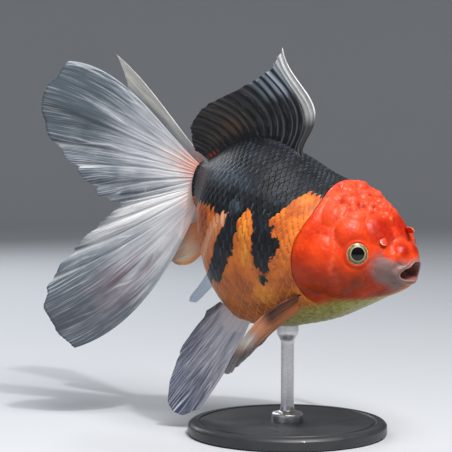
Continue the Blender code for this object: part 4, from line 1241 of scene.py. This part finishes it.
# ---------------- looks and shapes of the fins
# By material, as fin_material() takes them
FIN_LOOKS = {
    "tail_fin": dict(
        colours=((0.92, 0.72, 0.66), (0.56, 0.57, 0.6), (0.13, 0.16, 0.2),
                 (0.9, 0.9, 0.9), (0.08, 0.1, 0.14), (0.94, 0.8, 0.76)),
        root_end=0.14, edge_start=0.22, forks=(0.22, 0.46, 0.68), opaque=(1.0, 0.94, 0.82), ray_strength=0.55,
        lead=(0.55, 0.58, 0.62), lead_width=0.012, dark_strength=0.5, fray=0.16,
        tints=(
            ((0.94, 0.92, 0.91), -0.1, 1.1, 0.16, 0.3, 0.75),
            ((0.96, 0.95, 0.94), 0.48, 0.78, 0.1, 0.95, 0.85),
            ((0.78, 0.77, 0.82), 0.12, 0.36, 0.26, 0.56, 0.5),
            ((0.1, 0.13, 0.15), -0.3, 0.34, 0.6, 1.3, 0.9), ((0.1, 0.11, 0.13), 0.76, 1.2, 0.5, 1.3, 0.8),
            # painted shade: a purple-red streak where the lower lobe folds
            ((0.26, 0.1, 0.14), 0.84, 0.985, 0.46, 0.66, 0.5),
            ((0.92, 0.46, 0.34), -0.4, 1.1, -0.4, 0.07, 0.85),
            ((0.9, 0.18, 0.06), -0.4, 0.8, -0.4, 0.03, 1.0),
        ),
    ),
    "dorsal_fin": dict(
        colours=((0.01, 0.01, 0.012), (0.01, 0.01, 0.012), (0.018, 0.021, 0.028),
                 (0.2, 0.205, 0.23), (0.005, 0.005, 0.006), (0.02, 0.018, 0.018)),
        root_end=0.03, forks=(), opaque=(1.0, 0.98, 0.9), ray_strength=0.75, ray_fade=(0.25, 0.5),
        lead=(0.78, 0.78, 0.76), lead_width=0.15, lead_reach=(0.24, 0.42), through=0.12, blotchy=0.15,
        banded=True,
        tints=(
            ((0.4, 0.46, 0.54), -0.02, 0.38, 0.7, 1.1, 0.9),
            ((0.075, 0.062, 0.05), 0.3, 1.02, 0.22, 1.1, 0.75),
            ((0.12, 0.064, 0.03), 0.46, 0.82, 0.16, 0.52, 0.5),
            ((0.36, 0.045, 0.01), 0.8, 1.02, -0.1, 0.1, 1.0),
        ),
    ),
    "pectoral_fin": dict(
        colours=((0.62, 0.15, 0.025), (0.56, 0.19, 0.06), (0.11, 0.12, 0.14),
                 (0.72, 0.5, 0.36), (0.12, 0.08, 0.07), (0.66, 0.22, 0.06)),
        root_end=0.14, edge_start=0.42, forks=(0.4, 0.66), opaque=(1.0, 0.88, 0.5), crest_highlight=0.4,
        blotchy=0.1,
        tints=(
            ((0.014, 0.017, 0.029), -0.6, 0.74, -0.3, 0.41, 1.0),
            ((0.95, 0.44, 0.24), -0.6, 0.8, 0.43, 0.6, 1.0),
            ((0.74, 0.74, 0.7), -0.6, 0.72, 0.6, 0.76, 1.0),
            ((0.03, 0.033, 0.04), -0.8, 1.8, 0.83, 1.6, 1.0),
        ),
    ),
    "pelvic_fin": dict(
        colours=((0.74, 0.7, 0.72), (0.74, 0.72, 0.77), (0.05, 0.07, 0.17),
                 (0.94, 0.93, 0.96), (0.04, 0.06, 0.14), (0.78, 0.74, 0.76)),
        root_end=0.05, edge_start=0.3, forks=(0.3, 0.6), opaque=(0.95, 0.78, 0.62), lead=(0.72, 0.68, 0.73),
        dark_strength=1.0, ray_strength=0.9, blotchy=0.5, crest_highlight=0.4, fray=0.12,
        tints=(((0.06, 0.07, 0.1), 0.66, 1.3, -0.2, 1.3, 0.7),),
    ),
    "anal_fin": dict(
        colours=((0.55, 0.12, 0.02), (0.84, 0.74, 0.6), (0.8, 0.62, 0.46),
                 (0.92, 0.86, 0.76), (0.66, 0.3, 0.1), (0.8, 0.28, 0.08)),
        root_end=0.44, forks=(0.4, 0.66), opaque=(1.0, 0.97, 0.9), lead=(0.85, 0.36, 0.08), lead_width=0.16,
    ),
    "anal_fin_left": dict(
        colours=((0.6, 0.66, 0.76), (0.78, 0.86, 0.95), (0.74, 0.82, 0.92),
                 (0.92, 0.95, 0.98), (0.48, 0.54, 0.64), (0.66, 0.72, 0.8)),
        forks=(0.4,), opaque=(1.0, 1.0, 1.0), dark_strength=0.2,
    ),
}
# The left side of the tail differs in its light upper edge only
FIN_LOOKS["tail_fin_left"] = FIN_LOOKS["tail_fin"] | dict(lead=(0.98, 0.95, 0.88), lead_width=0.2)
TAIL_SHAPE = dict(main=18, forks=(0.22, 0.46), per_ray=20, steps=64, ripple=0.9, waves=4.0, ragged=0.018,
                  notch=0.004, thick=(0.4, 0.02), lead=0.15, skew=0.7, pleats=TAIL_PLEATS)
DORSAL_SHAPE = dict(main=20, forks=(), ripple=0.4, waves=2.5, ragged=0.012, notch=0.026, thick=(0.3, 0.15),
                    lead=0.7, hooked=1.0, jitter=0.15, accordion=0.26)
PECTORAL_SHAPE = dict(forks=(0.4,), steps=48, ripple=0.35, waves=2.0, notch=0.008,
                      pleats=((0.35, 0.06, 0.7, 0.02), (0.7, 0.05, 0.5, 0.01)))
PELVIC_SHAPE = dict(main=11, forks=(0.3, 0.6), per_ray=14, steps=56, ripple=0.4, waves=2.2, ragged=0.02,
                    notch=0.008, pleats=((0.3, 0.02, 0.4, 0.01), (0.62, 0.02, 0.4, 0.02)))
ANAL_SHAPE = dict(main=7, forks=(0.4,), per_ray=14, steps=36, ripple=0.2, waves=1.5, notch=0.01)


def fins():
    """Every fin, with a seed of its own."""
    looks = {name: fin_material(name, **look) for name, look in FIN_LOOKS.items()}
    for side, word, look, seed in ((1, "right", "tail_fin", 3), (-1, "left", "tail_fin_left", 4)):
        nodes = ("caudal_upper_" + word, "caudal_lower_" + word)
        fin("tail_fin_" + word, caudal_rays(side), nodes, looks[look], "fin_white", seed, phase=0.1 * side,
            **TAIL_SHAPE)
    fin("dorsal_sail", rooted(DORSAL), ("dorsal_fin",), looks["dorsal_fin"], "dorsal_grey", 5, **DORSAL_SHAPE)
    for name, side, word, rows, look, slot, seed, shape in (
        ("pectoral", 1, "right", PECTORAL_RIGHT, "pectoral_fin", "fin_orange", 6, PECTORAL_SHAPE),
        ("pectoral", -1, "left", PECTORAL_LEFT, "pectoral_fin", "fin_orange", 7, PECTORAL_SHAPE),
        ("pelvic", 1, "right", PELVIC_RIGHT, "pelvic_fin", "fin_blue_white", 8, PELVIC_SHAPE),
        ("pelvic", -1, "left", PELVIC_LEFT, "pelvic_fin", "fin_blue_white", 9, PELVIC_SHAPE),
        ("anal", 1, "right", ANAL_RIGHT, "anal_fin", "fin_orange", 10, ANAL_SHAPE),
        ("anal", -1, "left", ANAL_LEFT, "anal_fin_left", "fin_blue_white", 11, ANAL_SHAPE),
    ):
        fin(name + "_" + word, rooted(rows, side), (name + "_fin_" + word,), looks[look], slot, seed, **shape)


# ---------------- build
rng = np.random.default_rng(SEED)
camera()
skin_start = skin(skin_material(), rng)

scale_look = scale_material()
seeds = scale_seeds()
low = 0.0
for name, high in SCALE_PIECES:
    chosen = seeds[(seeds[:, 0] > low) & (seeds[:, 0] <= high)]
    scales(name, chosen, scale_look, rng, skin_start)
    low = high

eye_look = eye_material()
for side, word in ((1, "right"), (-1, "left")):
    eyeball("eyeball_" + word, side, eye_look, ("eye_" + word,))
flap_look = flap_material()
flap("nostril_flap_right", 1, (0.088, 41, -0.003), (0.08, 53, 0.0025), 0.002, 0.003, flap_look)
flap("nostril_flap_left", -1, (0.09, 33, -0.006), (0.072, 22, 0.024), 0.003, 0.0035, flap_look)
fins()
stand()
studio()
lights()
bpy.context.scene.view_settings.view_transform = "Standard"
